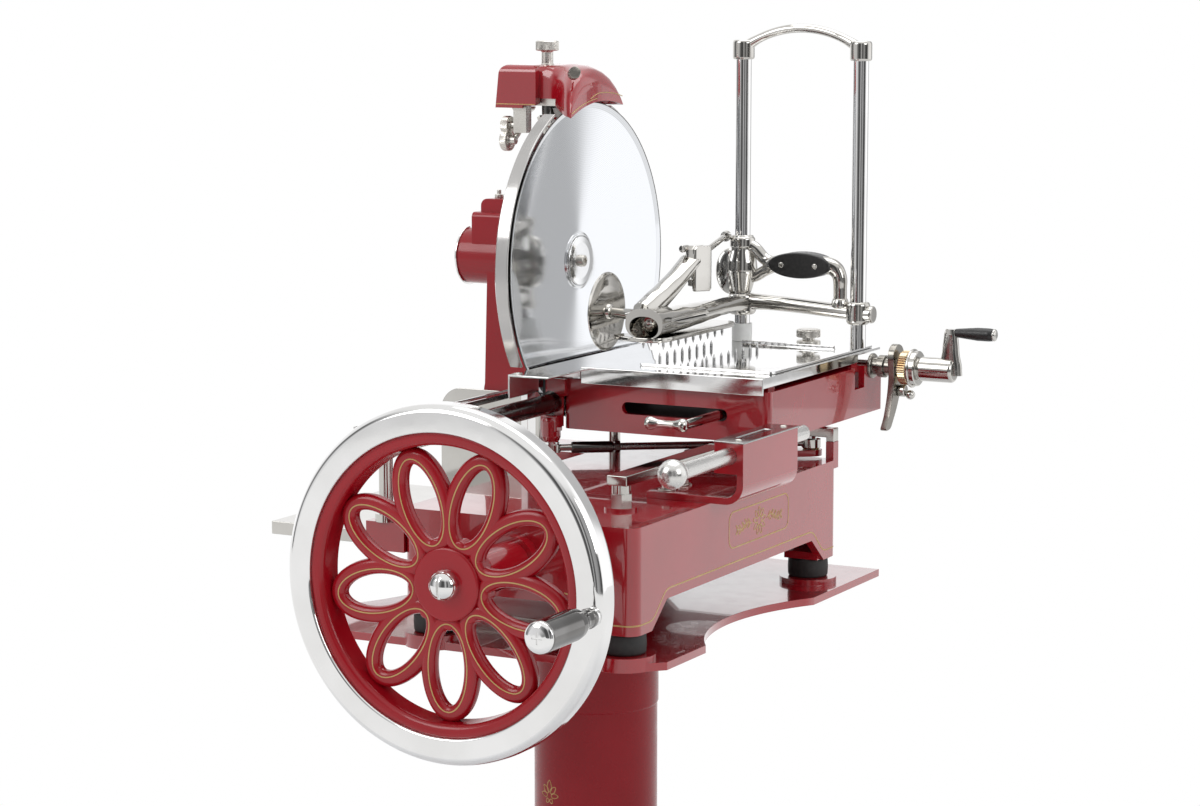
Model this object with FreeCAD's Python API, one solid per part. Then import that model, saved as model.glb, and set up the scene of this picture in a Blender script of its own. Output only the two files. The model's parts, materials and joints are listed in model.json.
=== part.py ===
import FreeCAD, Part
import math
import os

# Hand crank flywheel meat slicer on its pedestal, millimetres.
# The origin is the centre of the pedestal's underside on the floor.
# +Z is up, the flywheel faces -Y, the carriage travels along Y and the meat is fed along -X.

V = FreeCAD.Vector
X = V(1, 0, 0)
Y = V(0, 1, 0)
Z = V(0, 0, 1)

# Clearances
running_gap = 0.05
seat_gap = 0.3
slide_gap = 0.2

# Pedestal
foot_radius = 235.0
foot_rim_height = 26.0
flare_height = 130.0
column_radius = 65.0
neck_radius = 61.0
neck_height = 40.0
stand_top = 780.0
plate_thick = 8.0
plate_left = -223.0
plate_right = 195.0
plate_front = -245.0
plate_back = 300.0
plate_waist = 38.0
waist_front_inset = 110.0
waist_back_inset = 176.0
foot_disc_radius = 31.0
foot_disc_thick = 6.0
rubber_radius = 21.5
rubber_height = 21.0

# Base casting
base_left = -85.0
base_right = 175.0
base_front = -248.0
base_back = 230.0
base_height = 105.0
skirt_height = 26.0
leg_length = 36.0
arch_ramp = 32.0
base_wall = 9.0
base_corner_radius = 14.0
foot_inset = 24.0
arm_left = -252.0
arm_front = 150.0
arm_depth = 80.0
arm_height = 90.0
arm_drop = 3.0

# Lug on the rear right corner of the base
lug_left = 166.0
lug_right = 175.0
lug_depth = 13.0
lug_height = 20.0

# Flywheel
wheel_radius = 171.0
wheel_x = 45.0
wheel_drop = 42.0
wheel_front = -392.0
rim_width = 27.0
rim_depth = 32.0
red_ring_width = 12.0
petal_count = 9
petal_bite = 0.5
petal_root = 7.5
petal_half_width = 15.0
petal_band = 16.0
petal_thick = 15.0
petal_setback = 14.0
hub_radius = 35.0
hub_length = 44.0
wheel_shaft_radius = 12.0
bearing_radius = 22.0
grip_inset = 8.0
grip_angle = -4.0
grip_length = 100.0
grip_radius = 15.0
grip_neck_radius = 8.0
grip_bolt_radius = 5.0

# Crank gear in the base
gear_module = 4.0
gear_teeth = 24
tooth_tip = 2.6
tooth_root = 3.4
tooth_half = 2.6
gear_taper = 0.72
gear_hub = 11.0
pinion_teeth = 12
crank_y = 160.0
crank_radius = 120.0
crank_shaft_radius = 10.0
arm_gap = 2.0
crank_arm_thick = 7.0
crank_arm_end_radius = 12.0
crank_arm_hub_radius = 20.0

# Tie rod between crank and carriage
washer_thick = 1.6
rod_end_thick = 9.0
rod_end_radius = 10.5
rod_nut_height = 4.0
tie_rod_radius = 4.0
tie_stud_radius = 4.0
shank_radius = 3.6
ring_height = 2.6

# Carriage slides
slide_rod_radius = 10.5
slide_rod_x = -89.5
slide_rise = 64.0
slide_rod_front = -252.0
slide_rod_back = 236.0
sleeve_wall = 2.9
sleeve_front = 58.0
sleeve_length = 80.0
lug_y = 65.0
lug_radius = 7.5
rail_x = 112.0
rail_width = 22.0
rail_thick = 10.0
rail_front = -166.0
rail_post_y = -156.0

# Carriage
carriage_left = -78.0
carriage_right = 166.0
carriage_front = 71.0
carriage_back = 374.0
carriage_rise = 37.0
carriage_height = 54.0
carriage_wall = 7.0
slot_left = -6.5
slot_right = 117.5
slot_height = 13.0
roller_radius = 9.0
roller_y = 200.0

# Tables
table_rise = 15.0
table_thick = 3.0
table_left = -52.0
table_right = 162.0
table_front = 63.0
table_back = 374.0
front_lip = 18.0
side_lip = 11.0
shelf_left = -101.0
shelf_front = -8.0
shelf_thick = 2.5
shelf_fold = 26.0
meat_plate_left = -2.0
meat_plate_right = 157.0
meat_plate_front = 100.0
meat_plate_back = 366.0
meat_plate_thick = 2.6
spike_count = 8
spike_pitch = 18.0
spike_height = 9.0
spike_radius = 1.6
spike_tip = 4.0
spike_start = 26.0
spike_row_offset = 2.0
spike_row_step = 56.0

# Posts for the meat clamp
post_radius = 9.0
post_left_x = 8.5
post_right_x = 151.0
post_y = 335.0
post_height = 342.0
cap_radius = 12.3
cap_height = 22.0
arch_radius = 5.0
arch_drop = 10.0
arch_rise = 23.0
sleeve_nylon_radius = 11.5
sleeve_nylon_height = 20.0

# Meat clamp
clamp_rise = 45.0
clamp_head_height = 66.0
clamp_neck_radius = 13.0
clamp_belly_radius = 20.0
clamp_belly_rise = 26.0
clamp_fin_reach = 26.0
clamp_fin_depth = 16.0
clamp_fin_inset = 16.0
clamp_bar_radius = 9.0
clamp_boss_radius = 15.0
leaf_left = -15.0
leaf_right = 30.0
leaf_front = 92.0
leaf_thick = 7.0
leaf_drop = 19.0
leaf_length = 190.0
leaf_spike_count = 9
leaf_spike_pitch = 18.0
leaf_spike_radius = 1.5
leaf_spike_height = 9.5
leaf_spike_spread = 12.0
leaf_spike_start = 2.0
disc_guard_radius = 43.0
disc_guard_thick = 3.0
disc_guard_x = -56.0
disc_guard_y = 128.0
disc_guard_rise = 27.0
arm_clear_space = 45.0
clamp_arm_y = 222.0
clamp_arm_rise = 80.0
handle_post_radius = 7.0
handle_rise = 46.0
handle_elbow_x = 48.0
handle_bend_x = 118.0
oval_half_length = 38.0
oval_half_height = 14.5
oval_thick = 23.2
oval_screw_spread = 20.5

# Knife
knife_x = -105.0
knife_y = 180.0
knife_rise = 207.0
knife_radius = 175.0
knife_thick = 12.0
hub_plate_radius = 30.0
knife_shaft_radius = 12.0
guard_gap = 4.0
guard_thick = 2.5
guard_width = 20.0
housing_radius = 31.0
housing_left = -256.0
neck_left = -225.0
neck_right = -172.0
neck_depth = 46.0
column_top_height = 66.0

# Sharpener over the knife
cover_right = -87.0
cover_left = -204.0
cover_wall = 3.0
cover_rise = 41.0
cover_skirt = 8.0
fender_front = -74.0
fender_back = 46.0
box_front = -42.0
box_back = 32.0
stone_radius = 12.0
sharpener_set = 52.0

# Thickness control
control_x = 195.0
control_rise = 49.0
control_rod_radius = 8.5
control_ball_radius = 14.5
control_front = -209.0
control_back = 92.0
control_box_front = -86.0
control_box_back = 44.0
control_box_width = 32.0
control_box_height = 31.0
strap_thick = 7.0

# Feed screw and crank
screw_radius = 6.0
screw_left = -30.0
nut_left = 96.0
nut_width = 24.0
feed_travel = 44.0
feed_y = 340.0
feed_drop = 2.0
trip_x = 195.0
ratchet_radius = 19.0
feed_disc_radius = 21.5
feed_crank_x = 236.0
feed_throw = 42.0
feed_grip_length = 48.0
feed_arm_offset = 24.0
feed_arm_thick = 10.0

# Slice tray
tray_left = -327.0
tray_right = -142.0
tray_front = -120.0
tray_back = 147.0
tray_drop = 55.0
tray_thick = 2.5
tray_fold = 14.0
stop_left = -277.0
stop_right = -150.0
stop_height = 115.0
stop_corner = 26.0
gutter_x = -135.0
gutter_width = 16.0
gutter_lift = 7.0
gutter_back = 115.0

# Heights that follow from the values above
base_top = stand_top + foot_disc_thick + rubber_height + base_height
leg_bottom = base_top - base_height
skirt_z = leg_bottom + skirt_height
wheel_z = base_top - wheel_drop
crank_x = wheel_x
arm_z = base_top + arm_gap
arm_top_z = arm_z + crank_arm_thick
washer_z = arm_top_z + 0.4
rod_end_z = washer_z + washer_thick
rod_nut_z = rod_end_z + rod_end_thick
rail_z = rod_nut_z + rod_nut_height + 0.6
rail_top = rail_z + rail_thick
slide_rod_z = base_top + slide_rise
carriage_bottom = base_top + carriage_rise
carriage_top = carriage_bottom + carriage_height
slot_z = carriage_bottom + carriage_height / 2
table_top = carriage_top + table_rise
feed_z = carriage_top - feed_drop
post_top = table_top + post_height
clamp_bar_z = table_top + clamp_rise
leaf_z = clamp_bar_z - leaf_drop
disc_guard_z = leaf_z + disc_guard_rise
handle_z = clamp_bar_z + handle_rise
knife_z = base_top + knife_rise
cover_top = knife_radius + cover_rise
cover_bottom = knife_radius - cover_skirt
control_z = base_top + control_rise
tray_z = base_top - tray_drop
stop_top = tray_z + stop_height
gutter_z = slide_rod_z + gutter_lift
inner_ring_radius = wheel_radius - rim_width
petal_ring_radius = inner_ring_radius - red_ring_width
petal_start = hub_radius - petal_root
petal_reach = (petal_ring_radius + petal_bite - petal_start) / 2
petal_half_length = petal_reach - petal_band
petal_middle = petal_start + petal_reach
grip_pitch_radius = wheel_radius - grip_inset
sleeve_radius = slide_rod_radius + sleeve_wall
table_bottom = table_top - table_thick
arm_top_block = base_top - arm_drop
reach_x = slide_rod_x - crank_x
reach_y = lug_y - crank_y
reach = math.hypot(reach_x, reach_y)
pin_x = crank_x - reach_x / reach * crank_radius
pin_y = crank_y - reach_y / reach * crank_radius


def box(x0, x1, y0, y1, z0, z1):
    return Part.makeBox(x1 - x0, y1 - y0, z1 - z0, V(x0, y0, z0))


def bar(radius, start, end):
    line = end.sub(start)
    return Part.makeCylinder(radius, line.Length, start, line)


def taper(radius_start, radius_end, start, end):
    line = end.sub(start)
    return Part.makeCone(radius_start, radius_end, line.Length, start, line)


def tube(radius, bore, start, end):
    return bar(radius, start, end).cut(bar(bore, start, end))


def ball(radius, centre):
    return Part.makeSphere(radius, centre)


def prism(points, extrusion):
    loop = Part.makePolygon(points + [points[0]])
    return Part.Face(loop).extrude(extrusion)


def turned(profile, origin, axis, side):
    # profile points are (distance along the axis, radius)
    points = []
    for along, radius in profile:
        points.append(origin + axis * along + side * radius)
    loop = Part.makePolygon(points + [points[0]])
    return Part.Face(loop).revolve(origin, axis, 360)


def join(first, *others):
    return first.fuse(list(others)).removeSplitter()


def round_edges(shape, radius, direction):
    edges = []
    for edge in shape.Edges:
        if edge.Curve.TypeId != "Part::GeomLine":
            continue
        if abs(edge.tangentAt(edge.FirstParameter).dot(direction)) > 0.999:
            edges.append(edge)
    return shape.makeFillet(radius, edges)


def hexagon(across, base, height, axis_x, axis_y):
    corner = across / math.sqrt(3)
    points = []
    for k in range(6):
        turn = math.radians(60 * k)
        points.append(base + axis_x * (corner * math.cos(turn)) + axis_y * (corner * math.sin(turn)))
    return prism(points, axis_x.cross(axis_y) * height)


def arc_strip(inner, outer, x0, x1, start_deg, end_deg, y, z):
    # part of a ring about an X axis, angles measured from +Y towards +Z
    def at(radius, deg):
        turn = math.radians(deg)
        return V(x0, y + radius * math.cos(turn), z + radius * math.sin(turn))
    middle = (start_deg + end_deg) / 2
    edges = [
        Part.Arc(at(outer, start_deg), at(outer, middle), at(outer, end_deg)).toShape(),
        Part.LineSegment(at(outer, end_deg), at(inner, end_deg)).toShape(),
        Part.Arc(at(inner, end_deg), at(inner, middle), at(inner, start_deg)).toShape(),
        Part.LineSegment(at(inner, start_deg), at(outer, start_deg)).toShape(),
    ]
    return Part.Face(Part.Wire(edges)).extrude(X * (x1 - x0))


def save(name, *solids):
    shape = solids[0]
    if len(solids) > 1:
        shape = Part.makeCompound(list(solids))
    for solid in shape.Solids:
        if not solid.isValid() or solid.Volume < 0.5:
            print("check", name, solid.isValid(), round(solid.Volume, 2))
    print(name, len(shape.Solids))
    shape.exportStep("parts/" + name + ".step")


def feet_places():
    places = []
    for x in (base_left + foot_inset, base_right - foot_inset):
        for y in (base_front + foot_inset, base_back - foot_inset):
            places.append((x, y))
    return places


# ---------------------------------------------------------------- pedestal

def pedestal():
    rim = foot_radius
    waist = column_radius
    profile = [
        (0, 0),
        (0, rim),
        (foot_rim_height * 0.6, rim),
        (foot_rim_height, rim - 8),
        (foot_rim_height + 6, rim - 40),
        (foot_rim_height + 22, rim - 90),
        (foot_rim_height + 52, waist + 38),
        (foot_rim_height + 84, waist + 16),
        (flare_height, waist + 6),
        (flare_height, 0),
    ]
    foot = turned(profile, V(0, 0, 0), Z, X)
    save("pedestal_foot", foot)
    column_top = stand_top - plate_thick - neck_height
    column = bar(column_radius, V(0, 0, flare_height), V(0, 0, column_top))
    base_ring = bar(column_radius + 6, V(0, 0, flare_height), V(0, 0, flare_height + 12))
    neck = bar(neck_radius, V(0, 0, column_top), V(0, 0, column_top + neck_height))
    save("pedestal_column", join(column, base_ring, neck))


def top_plate():
    low = stand_top - plate_thick
    corners = []
    nose = 26
    waist_front = plate_front + waist_front_inset
    waist_back = plate_back - waist_back_inset
    middle = (waist_front + waist_back) / 2

    def line(a, b):
        corners.append(Part.LineSegment(V(a[0], a[1], low), V(b[0], b[1], low)).toShape())

    def arc(a, b, c):
        curve = Part.Arc(V(a[0], a[1], low), V(b[0], b[1], low), V(c[0], c[1], low))
        corners.append(curve.toShape())
    line((plate_left + nose, plate_front), (plate_right - nose, plate_front))
    line((plate_right - nose, plate_front), (plate_right, plate_front + nose))
    line((plate_right, plate_front + nose), (plate_right, waist_front))
    arc((plate_right, waist_front), (plate_right - plate_waist, middle), (plate_right, waist_back))
    line((plate_right, waist_back), (plate_right, plate_back))
    line((plate_right, plate_back), (plate_left, plate_back))
    line((plate_left, plate_back), (plate_left, waist_back))
    arc((plate_left, waist_back), (plate_left + plate_waist, middle), (plate_left, waist_front))
    line((plate_left, waist_front), (plate_left, plate_front + nose))
    line((plate_left, plate_front + nose), (plate_left + nose, plate_front))
    plate = Part.Face(Part.Wire(corners)).extrude(Z * plate_thick)
    discs = []
    for x, y in feet_places():
        discs.append(bar(foot_disc_radius, V(x, y, low), V(x, y, stand_top + foot_disc_thick)))
    save("pedestal_plate", join(plate, *discs))


def feet():
    rubbers = []
    for x, y in feet_places():
        seat = stand_top + foot_disc_thick
        rubbers.append(bar(rubber_radius, V(x, y, seat), V(x, y, seat + rubber_height)))
    save("rubber_feet", *rubbers)


# ---------------------------------------------------------------- base

def arch_cut(along_x, low_side, high_side, across0, across1):
    start = low_side + leg_length
    stop = high_side - leg_length
    outline = [
        (start, leg_bottom - 1),
        (start, leg_bottom),
        (start + arch_ramp, skirt_z),
        (stop - arch_ramp, skirt_z),
        (stop, leg_bottom),
        (stop, leg_bottom - 1),
    ]
    points = []
    for along, z in outline:
        if along_x:
            points.append(V(along, across0, z))
        else:
            points.append(V(across0, along, z))
    extrusion = Y if along_x else X
    return prism(points, extrusion * (across1 - across0))


def base_casting():
    body = box(base_left, base_right, base_front, base_back, leg_bottom, base_top)
    body = round_edges(body, base_corner_radius, Z)
    arm_low = arm_top_block - arm_height
    arm = box(arm_left, base_left + 20, arm_front, arm_front + arm_depth, arm_low, arm_top_block)
    arm = round_edges(arm, 10, Z)
    body = body.fuse(arm)
    wall = base_wall
    hollow = box(base_left + wall, base_right - wall, base_front + wall, base_back - wall,
                 leg_bottom - 5, base_top - wall)
    cuts = [hollow]
    cuts.append(arch_cut(True, base_left, base_right, base_front - 5, base_back + 5))
    cuts.append(arch_cut(False, base_front, base_back, base_left - 5, base_right + 5))
    body = body.cut(cuts)
    pads = []
    for x, y in feet_places():
        half = foot_inset - base_wall / 2
        pads.append(box(x - half, x + half, y - half, y + half, leg_bottom, leg_bottom + 8))
    boss = bar(bearing_radius + 5, V(wheel_x, base_front + 1, wheel_z), V(wheel_x, base_front + 30, wheel_z))
    top_boss = bar(crank_arm_hub_radius, V(crank_x, crank_y, base_top - 22),
                   V(crank_x, crank_y, base_top))
    lug = box(lug_left, lug_right, base_back - lug_depth, base_back, base_top - base_wall,
              base_top + lug_height)
    post_low = base_top - 46
    ear = box(base_left - 42, base_left + 2, base_front + 1, base_front + 40, post_low, base_top - 17)
    nose_end = wheel_front + hub_length + 1.2
    nose = bar(bearing_radius, V(wheel_x, nose_end, wheel_z), V(wheel_x, base_front + 1, wheel_z))
    collar = bar(bearing_radius + 5, V(wheel_x, base_front - 12, wheel_z),
                 V(wheel_x, base_front + 1, wheel_z))
    disc = bar(17, V(rail_x, rail_post_y, base_top - 1), V(rail_x, rail_post_y, base_top + 3))
    arms = []
    arm_level = tray_z - tray_fold
    for y in (tray_front + 60, tray_back - 60):
        arms.append(box(tray_left + 60, base_left + 1, y, y + 18, arm_level - 8, arm_level))
    body = join(body, boss, top_boss, lug, ear, nose, collar, disc, *(pads + arms))
    bore = bar(wheel_shaft_radius + running_gap, V(wheel_x, nose_end - 5, wheel_z),
               V(wheel_x, base_front + 40, wheel_z))
    top_bore = bar(crank_shaft_radius + running_gap, V(crank_x, crank_y, base_top - 40),
                   V(crank_x, crank_y, base_top + 5))
    body = body.cut([bore, top_bore])
    save("base_casting", body)


def slide_rod():
    start = V(slide_rod_x, slide_rod_front, slide_rod_z)
    end = V(slide_rod_x, slide_rod_back, slide_rod_z)
    save("slide_rod", bar(slide_rod_radius, start, end))
    front_y = base_front + 8
    back_y = slide_rod_back - 14
    front_x = slide_rod_x - 18
    back_x = slide_rod_x - 5.5
    hole = bar(slide_rod_radius, V(slide_rod_x, slide_rod_front - 20, slide_rod_z),
               V(slide_rod_x, slide_rod_back + 20, slide_rod_z))
    front_foot = base_top - 17
    front = join(
        bar(7, V(front_x, front_y, front_foot), V(front_x, front_y, slide_rod_z)),
        bar(11, V(front_x, front_y, front_foot), V(front_x, front_y, front_foot + 8)),
        box(gutter_x - 8, slide_rod_x + 13, front_y - 7, front_y + 7, slide_rod_z - 13,
            slide_rod_z + 6))
    back = join(
        bar(6.5, V(back_x, back_y, arm_top_block), V(back_x, back_y, slide_rod_z)),
        box(slide_rod_x - 13, carriage_left - 0.6, back_y - 7, back_y + 7, slide_rod_z - 13,
            slide_rod_z + 13))
    centre = V(rail_x, rail_post_y, base_top)
    nut = hexagon(20, centre + Z * 3, 13, X, Y)
    stem = bar(9.5, centre + Z * 16, V(rail_x, rail_post_y, rail_z))
    save("rod_posts", front.cut(hole), back.cut(hole), join(nut, stem))


def rail():
    beam_back = base_back
    lug_front = base_back - lug_depth
    beam = box(rail_x - rail_width / 2, rail_x + rail_width / 2, rail_front, beam_back,
               rail_z, rail_top)
    cross = box(rail_x, lug_right, lug_front, beam_back, rail_z, rail_top)
    foot = box(lug_left, lug_right, lug_front, beam_back, base_top + lug_height, rail_z)
    save("rail_bar", join(beam, cross, foot))


# ---------------------------------------------------------------- flywheel

def wheel_centre(y):
    return V(wheel_x, y, wheel_z)


def flywheel():
    front = wheel_front
    outer = wheel_radius
    inner = inner_ring_radius
    rim = turned([
        (2, inner),
        (0, inner + 2),
        (0, outer - 7),
        (3, outer - 2),
        (8, outer),
        (rim_depth - 5, outer),
        (rim_depth, outer - 4),
        (rim_depth, inner + 6),
        (rim_depth - 5, inner),
    ], wheel_centre(front), Y, X)
    save("flywheel_rim", join(rim, grip_bolt(front)))
    face_y = front + petal_setback
    ring = tube(inner, petal_ring_radius, wheel_centre(front + 4), wheel_centre(face_y + petal_thick))
    pieces = []
    holes = []
    for k in range(petal_count):
        turn = math.radians(-90 + 360 * k / petal_count)
        out = V(math.cos(turn), 0, math.sin(turn))
        middle = wheel_centre(face_y) + out * petal_middle
        pieces.append(ellipse_slab(middle, out, petal_half_length + petal_band,
                                   petal_half_width + petal_band, petal_thick))
        holes.append(ellipse_slab(middle - Y * 3, out, petal_half_length, petal_half_width,
                                  petal_thick + 6))
    hub_back = front + hub_length
    hub = bar(hub_radius, wheel_centre(face_y - 2), wheel_centre(face_y + 18))
    hub_tail = bar(bearing_radius + 2, wheel_centre(face_y + 10), wheel_centre(hub_back))
    flower = ring.fuse(pieces).fuse([hub, hub_tail]).cut(holes)
    shaft_hole = bar(wheel_shaft_radius, wheel_centre(front - 10), wheel_centre(hub_back + 5))
    flower = flower.cut(shaft_hole).removeSplitter()
    save("flywheel_flower", flower)
    cap = turned([
        (-11, 0),
        (-10, 7),
        (-6, 12),
        (0, 14),
        (4, 14),
        (4, 0),
    ], wheel_centre(face_y - 6), Y, X)
    slot = box(wheel_x - 1.5, wheel_x + 1.5, face_y - 20, face_y - 12, wheel_z - 20, wheel_z + 20)
    return cap.cut(slot)


def ellipse_slab(middle, out, half_length, half_width, thick):
    curve = Part.Ellipse(V(0, 0, 0), half_length, half_width)
    edge = curve.toShape()
    face = Part.Face(Part.Wire([edge]))
    slab = face.extrude(V(0, 0, thick))
    side = out.cross(Y)
    move = FreeCAD.Matrix()
    move.A11, move.A21, move.A31 = out.x, out.y, out.z
    move.A12, move.A22, move.A32 = -side.x, -side.y, -side.z
    move.A13, move.A23, move.A33 = 0, 1, 0
    move.A14, move.A24, move.A34 = middle.x, middle.y, middle.z
    slab.transformShape(move, True)
    return slab


def grip_place(y):
    turn = math.radians(grip_angle)
    return V(wheel_x + grip_pitch_radius * math.cos(turn), y,
             wheel_z + grip_pitch_radius * math.sin(turn))


def grip_bolt(front):
    nut = bar(9, grip_place(front - 5), grip_place(front))
    start = front - 5 - grip_length
    pin = bar(grip_bolt_radius, grip_place(start + 8), grip_place(front + 2))
    return join(nut, pin)


def wheel_grip():
    start = wheel_front - 5 - grip_length
    grip = turned([
        (0, 0),
        (0, grip_radius - 3),
        (3, grip_radius),
        (12, grip_radius),
        (grip_length - 34, grip_radius),
        (grip_length - 12, grip_neck_radius + 1),
        (grip_length - seat_gap, grip_neck_radius + 1),
        (grip_length - seat_gap, 0),
    ], grip_place(start), Y, Z)
    hole = bar(grip_bolt_radius + running_gap, grip_place(start + 8 - seat_gap),
               grip_place(wheel_front))
    save("wheel_grip", grip.cut(hole))


# ---------------------------------------------------------------- crank gear and tie rod

def bevel_gear(apex, axis, radius, reach, teeth, first, side, across):
    # toothed sections drawn towards the apex, cut square to the axis, with a plain hub behind
    cone = math.hypot(radius, reach)

    def corner(up, half):
        drop = reach / (reach - up * radius / cone)
        return (radius + up * reach / cone) * drop, half * drop
    root_radius, root_half = corner(-tooth_root, tooth_half + 0.7)
    tip_radius, tip_half = corner(tooth_tip, tooth_half - 0.9)

    def section(scale):
        points = []
        for k in range(teeth):
            turn = math.radians(360 * (k + first) / teeth)
            out = side * math.cos(turn) + across * math.sin(turn)
            over = across * math.cos(turn) - side * math.sin(turn)
            for far, wide in ((root_radius, -root_half), (tip_radius, -tip_half),
                              (tip_radius, tip_half), (root_radius, root_half)):
                points.append(apex + (axis * reach + out * far + over * wide) * scale)
        return Part.makePolygon(points + [points[0]])
    crown = Part.makeLoft([section(1.0), section(gear_taper)], True, True)
    hub = bar(root_radius - 2.5, apex + axis * (reach - 0.5), apex + axis * (reach + gear_hub))
    return crown.fuse(hub)


def bevel_gears(shaft_cap):
    apex = V(crank_x, crank_y, wheel_z)
    big = gear_module * gear_teeth / 2
    small = gear_module * pinion_teeth / 2
    down = V(0, 0, -1)
    forward = V(0, -1, 0)
    wheel = bevel_gear(apex, down, big, small, gear_teeth, 0.5, X, Y)
    low = apex + down * (small + gear_hub - 2)
    shaft = bar(crank_shaft_radius, low, V(crank_x, crank_y, arm_z + 1))
    save("crank_shaft", join(wheel, shaft))
    pinion = bevel_gear(apex, forward, small, big, pinion_teeth, 0, down, X)
    start = wheel_centre(wheel_front + petal_setback - 6)
    shaft = bar(wheel_shaft_radius, start, wheel_centre(crank_y - big * gear_taper - 3))
    save("flywheel_shaft", join(pinion, shaft, shaft_cap))


def crank_arm():
    hub = V(crank_x, crank_y, arm_z)
    pin = V(pin_x, pin_y, arm_z)
    along = pin.sub(hub).normalize()
    across = Z.cross(along)
    web = prism([
        hub + across * crank_arm_hub_radius * 0.85,
        hub - across * crank_arm_hub_radius * 0.85,
        pin - across * crank_arm_end_radius,
        pin + across * crank_arm_end_radius,
    ], Z * crank_arm_thick)
    arm = join(
        web,
        bar(crank_arm_hub_radius, hub, hub + Z * crank_arm_thick),
        bar(crank_arm_end_radius, pin, pin + Z * crank_arm_thick))
    hole = bar(tie_stud_radius + 0.5, pin + Z * 2, pin + Z * (crank_arm_thick + 2))
    socket = bar(crank_shaft_radius, hub, hub + Z)
    arm = arm.cut([hole, socket])
    save("crank_arm", arm)


def tie_rod():
    lug = V(slide_rod_x, lug_y, rod_end_z)
    pin = V(pin_x, pin_y, rod_end_z)
    middle = rod_end_thick / 2
    along = pin.sub(lug).normalize()
    across = Z.cross(along)
    start = lug + along * 34 + Z * middle
    end = pin - along * 34 + Z * middle
    save("tie_rod", bar(tie_rod_radius, start, end))
    ends = []
    for place, way in ((lug, along), (pin, along * -1)):
        eye = bar(rod_end_radius, place, place + Z * rod_end_thick)
        shank = bar(shank_radius, place + Z * middle, place + way * 34 + Z * middle)
        bore = bar(tie_stud_radius, place - Z, place + Z * (rod_end_thick + 1))
        ends.append(join(eye, shank).cut(bore))
    save("tie_rod_ends", *ends)
    nuts = []
    for place, way in ((lug, along), (pin, along * -1)):
        base = place + way * 22 + Z * middle
        up = Z if way.dot(along) > 0 else Z * -1
        nut = hexagon(rod_end_thick - 0.6, base, 5, across, up)
        nuts.append(nut.cut(bar(shank_radius, place + Z * middle, place + way * 60 + Z * middle)))
    pin_stud = join(
        bar(tie_stud_radius, pin - Z * washer_thick, pin + Z * (rod_end_thick + rod_nut_height)),
        hexagon(11, pin + Z * rod_end_thick, rod_nut_height, X, Y))
    washer = tube(9.5, tie_stud_radius, pin - Z * washer_thick, pin)
    save("brass_washer", washer)
    low_nut = hexagon(11, lug - Z * 1.2, 1.2, X, Y)
    ring = bar(lug_radius + 1.5, lug + Z * rod_end_thick, lug + Z * (rod_end_thick + ring_height))
    lug_stud = join(bar(tie_stud_radius, lug - Z * 1.2, lug + Z * rod_end_thick), low_nut, ring)
    save("tie_rod_fasteners", pin_stud, lug_stud, *nuts)


# ---------------------------------------------------------------- carriage

def carriage():
    wall = carriage_wall
    body = box(carriage_left, carriage_right, carriage_front, carriage_back, carriage_bottom,
               carriage_top)
    body = round_edges(body, 8, Z)
    hollow = box(carriage_left + wall, carriage_right - wall, carriage_front + wall,
                 carriage_back - wall, carriage_bottom - 5, carriage_top - wall)
    slot = box(slot_left, slot_right, carriage_front - 5, carriage_front + wall + 1,
               slot_z - slot_height / 2, slot_z + slot_height / 2)
    slot = round_edges(slot, slot_height / 2 - 0.05, Y)
    notch = box(carriage_right - wall - 2, carriage_right + 5, 320 - 26, 320, carriage_top - 24,
                carriage_top + 5)
    body = body.cut([hollow, slot, notch])
    web_left = slide_rod_x - 6
    web = box(web_left, carriage_left + wall - 1, sleeve_front + 6, sleeve_front + sleeve_length - 6,
              slide_rod_z + 9, carriage_top)
    web = web.fuse(box(shelf_left + 3, carriage_left + 10, carriage_front, carriage_back - 20,
                       carriage_top - 4, carriage_top))
    ribs = []
    for y in (carriage_front + 14, carriage_back - 72):
        ribs.append(box(table_left + 13, carriage_right - 8, y, y + 16, carriage_top - 1, table_bottom))
    body = join(body, web, *ribs)
    sleeve_space = bar(sleeve_radius, V(slide_rod_x, sleeve_front - 30, slide_rod_z),
                       V(slide_rod_x, sleeve_front + sleeve_length + 40, slide_rod_z))
    channel = box(screw_left + 14, carriage_right - wall, feed_y - 13, feed_y + 13,
                  carriage_top - wall - 1, table_bottom + 1)
    bearing = box(screw_left, screw_left + 14, feed_y - 13, feed_y + 13, carriage_top - wall,
                  table_bottom)
    screw_bore = bar(screw_radius + running_gap, feed_centre(screw_left + 2),
                     feed_centre(carriage_right + 5))
    body = body.cut([sleeve_space, channel])
    body = join(body, bearing, *(roller_fork() + lever_block()))
    save("carriage_body", body.cut([screw_bore, lever_bore()]))


def carriage_sleeve():
    start = V(slide_rod_x, sleeve_front, slide_rod_z)
    end = V(slide_rod_x, sleeve_front + sleeve_length, slide_rod_z)
    bush = tube(sleeve_radius, slide_rod_radius + running_gap, start, end)
    lug_low = rod_nut_z + ring_height + seat_gap
    lug = bar(lug_radius, V(slide_rod_x, lug_y, lug_low), V(slide_rod_x, lug_y, slide_rod_z - 6))
    flare = bar(lug_radius + 1.5, V(slide_rod_x, lug_y, slide_rod_z - 18),
                V(slide_rod_x, lug_y, slide_rod_z - 6))
    core = bar(slide_rod_radius + running_gap, start - Y * 5, end + Y * 5)
    save("carriage_sleeve", join(bush, lug, flare).cut(core))


def roller():
    axle_z = rail_top + seat_gap + roller_radius
    y = roller_y
    wheel = bar(roller_radius, V(rail_x - 6, y, axle_z), V(rail_x + 6, y, axle_z))
    bore = bar(3 + running_gap, V(rail_x - 8, y, axle_z), V(rail_x + 8, y, axle_z))
    save("carriage_roller", wheel.cut(bore))


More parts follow.
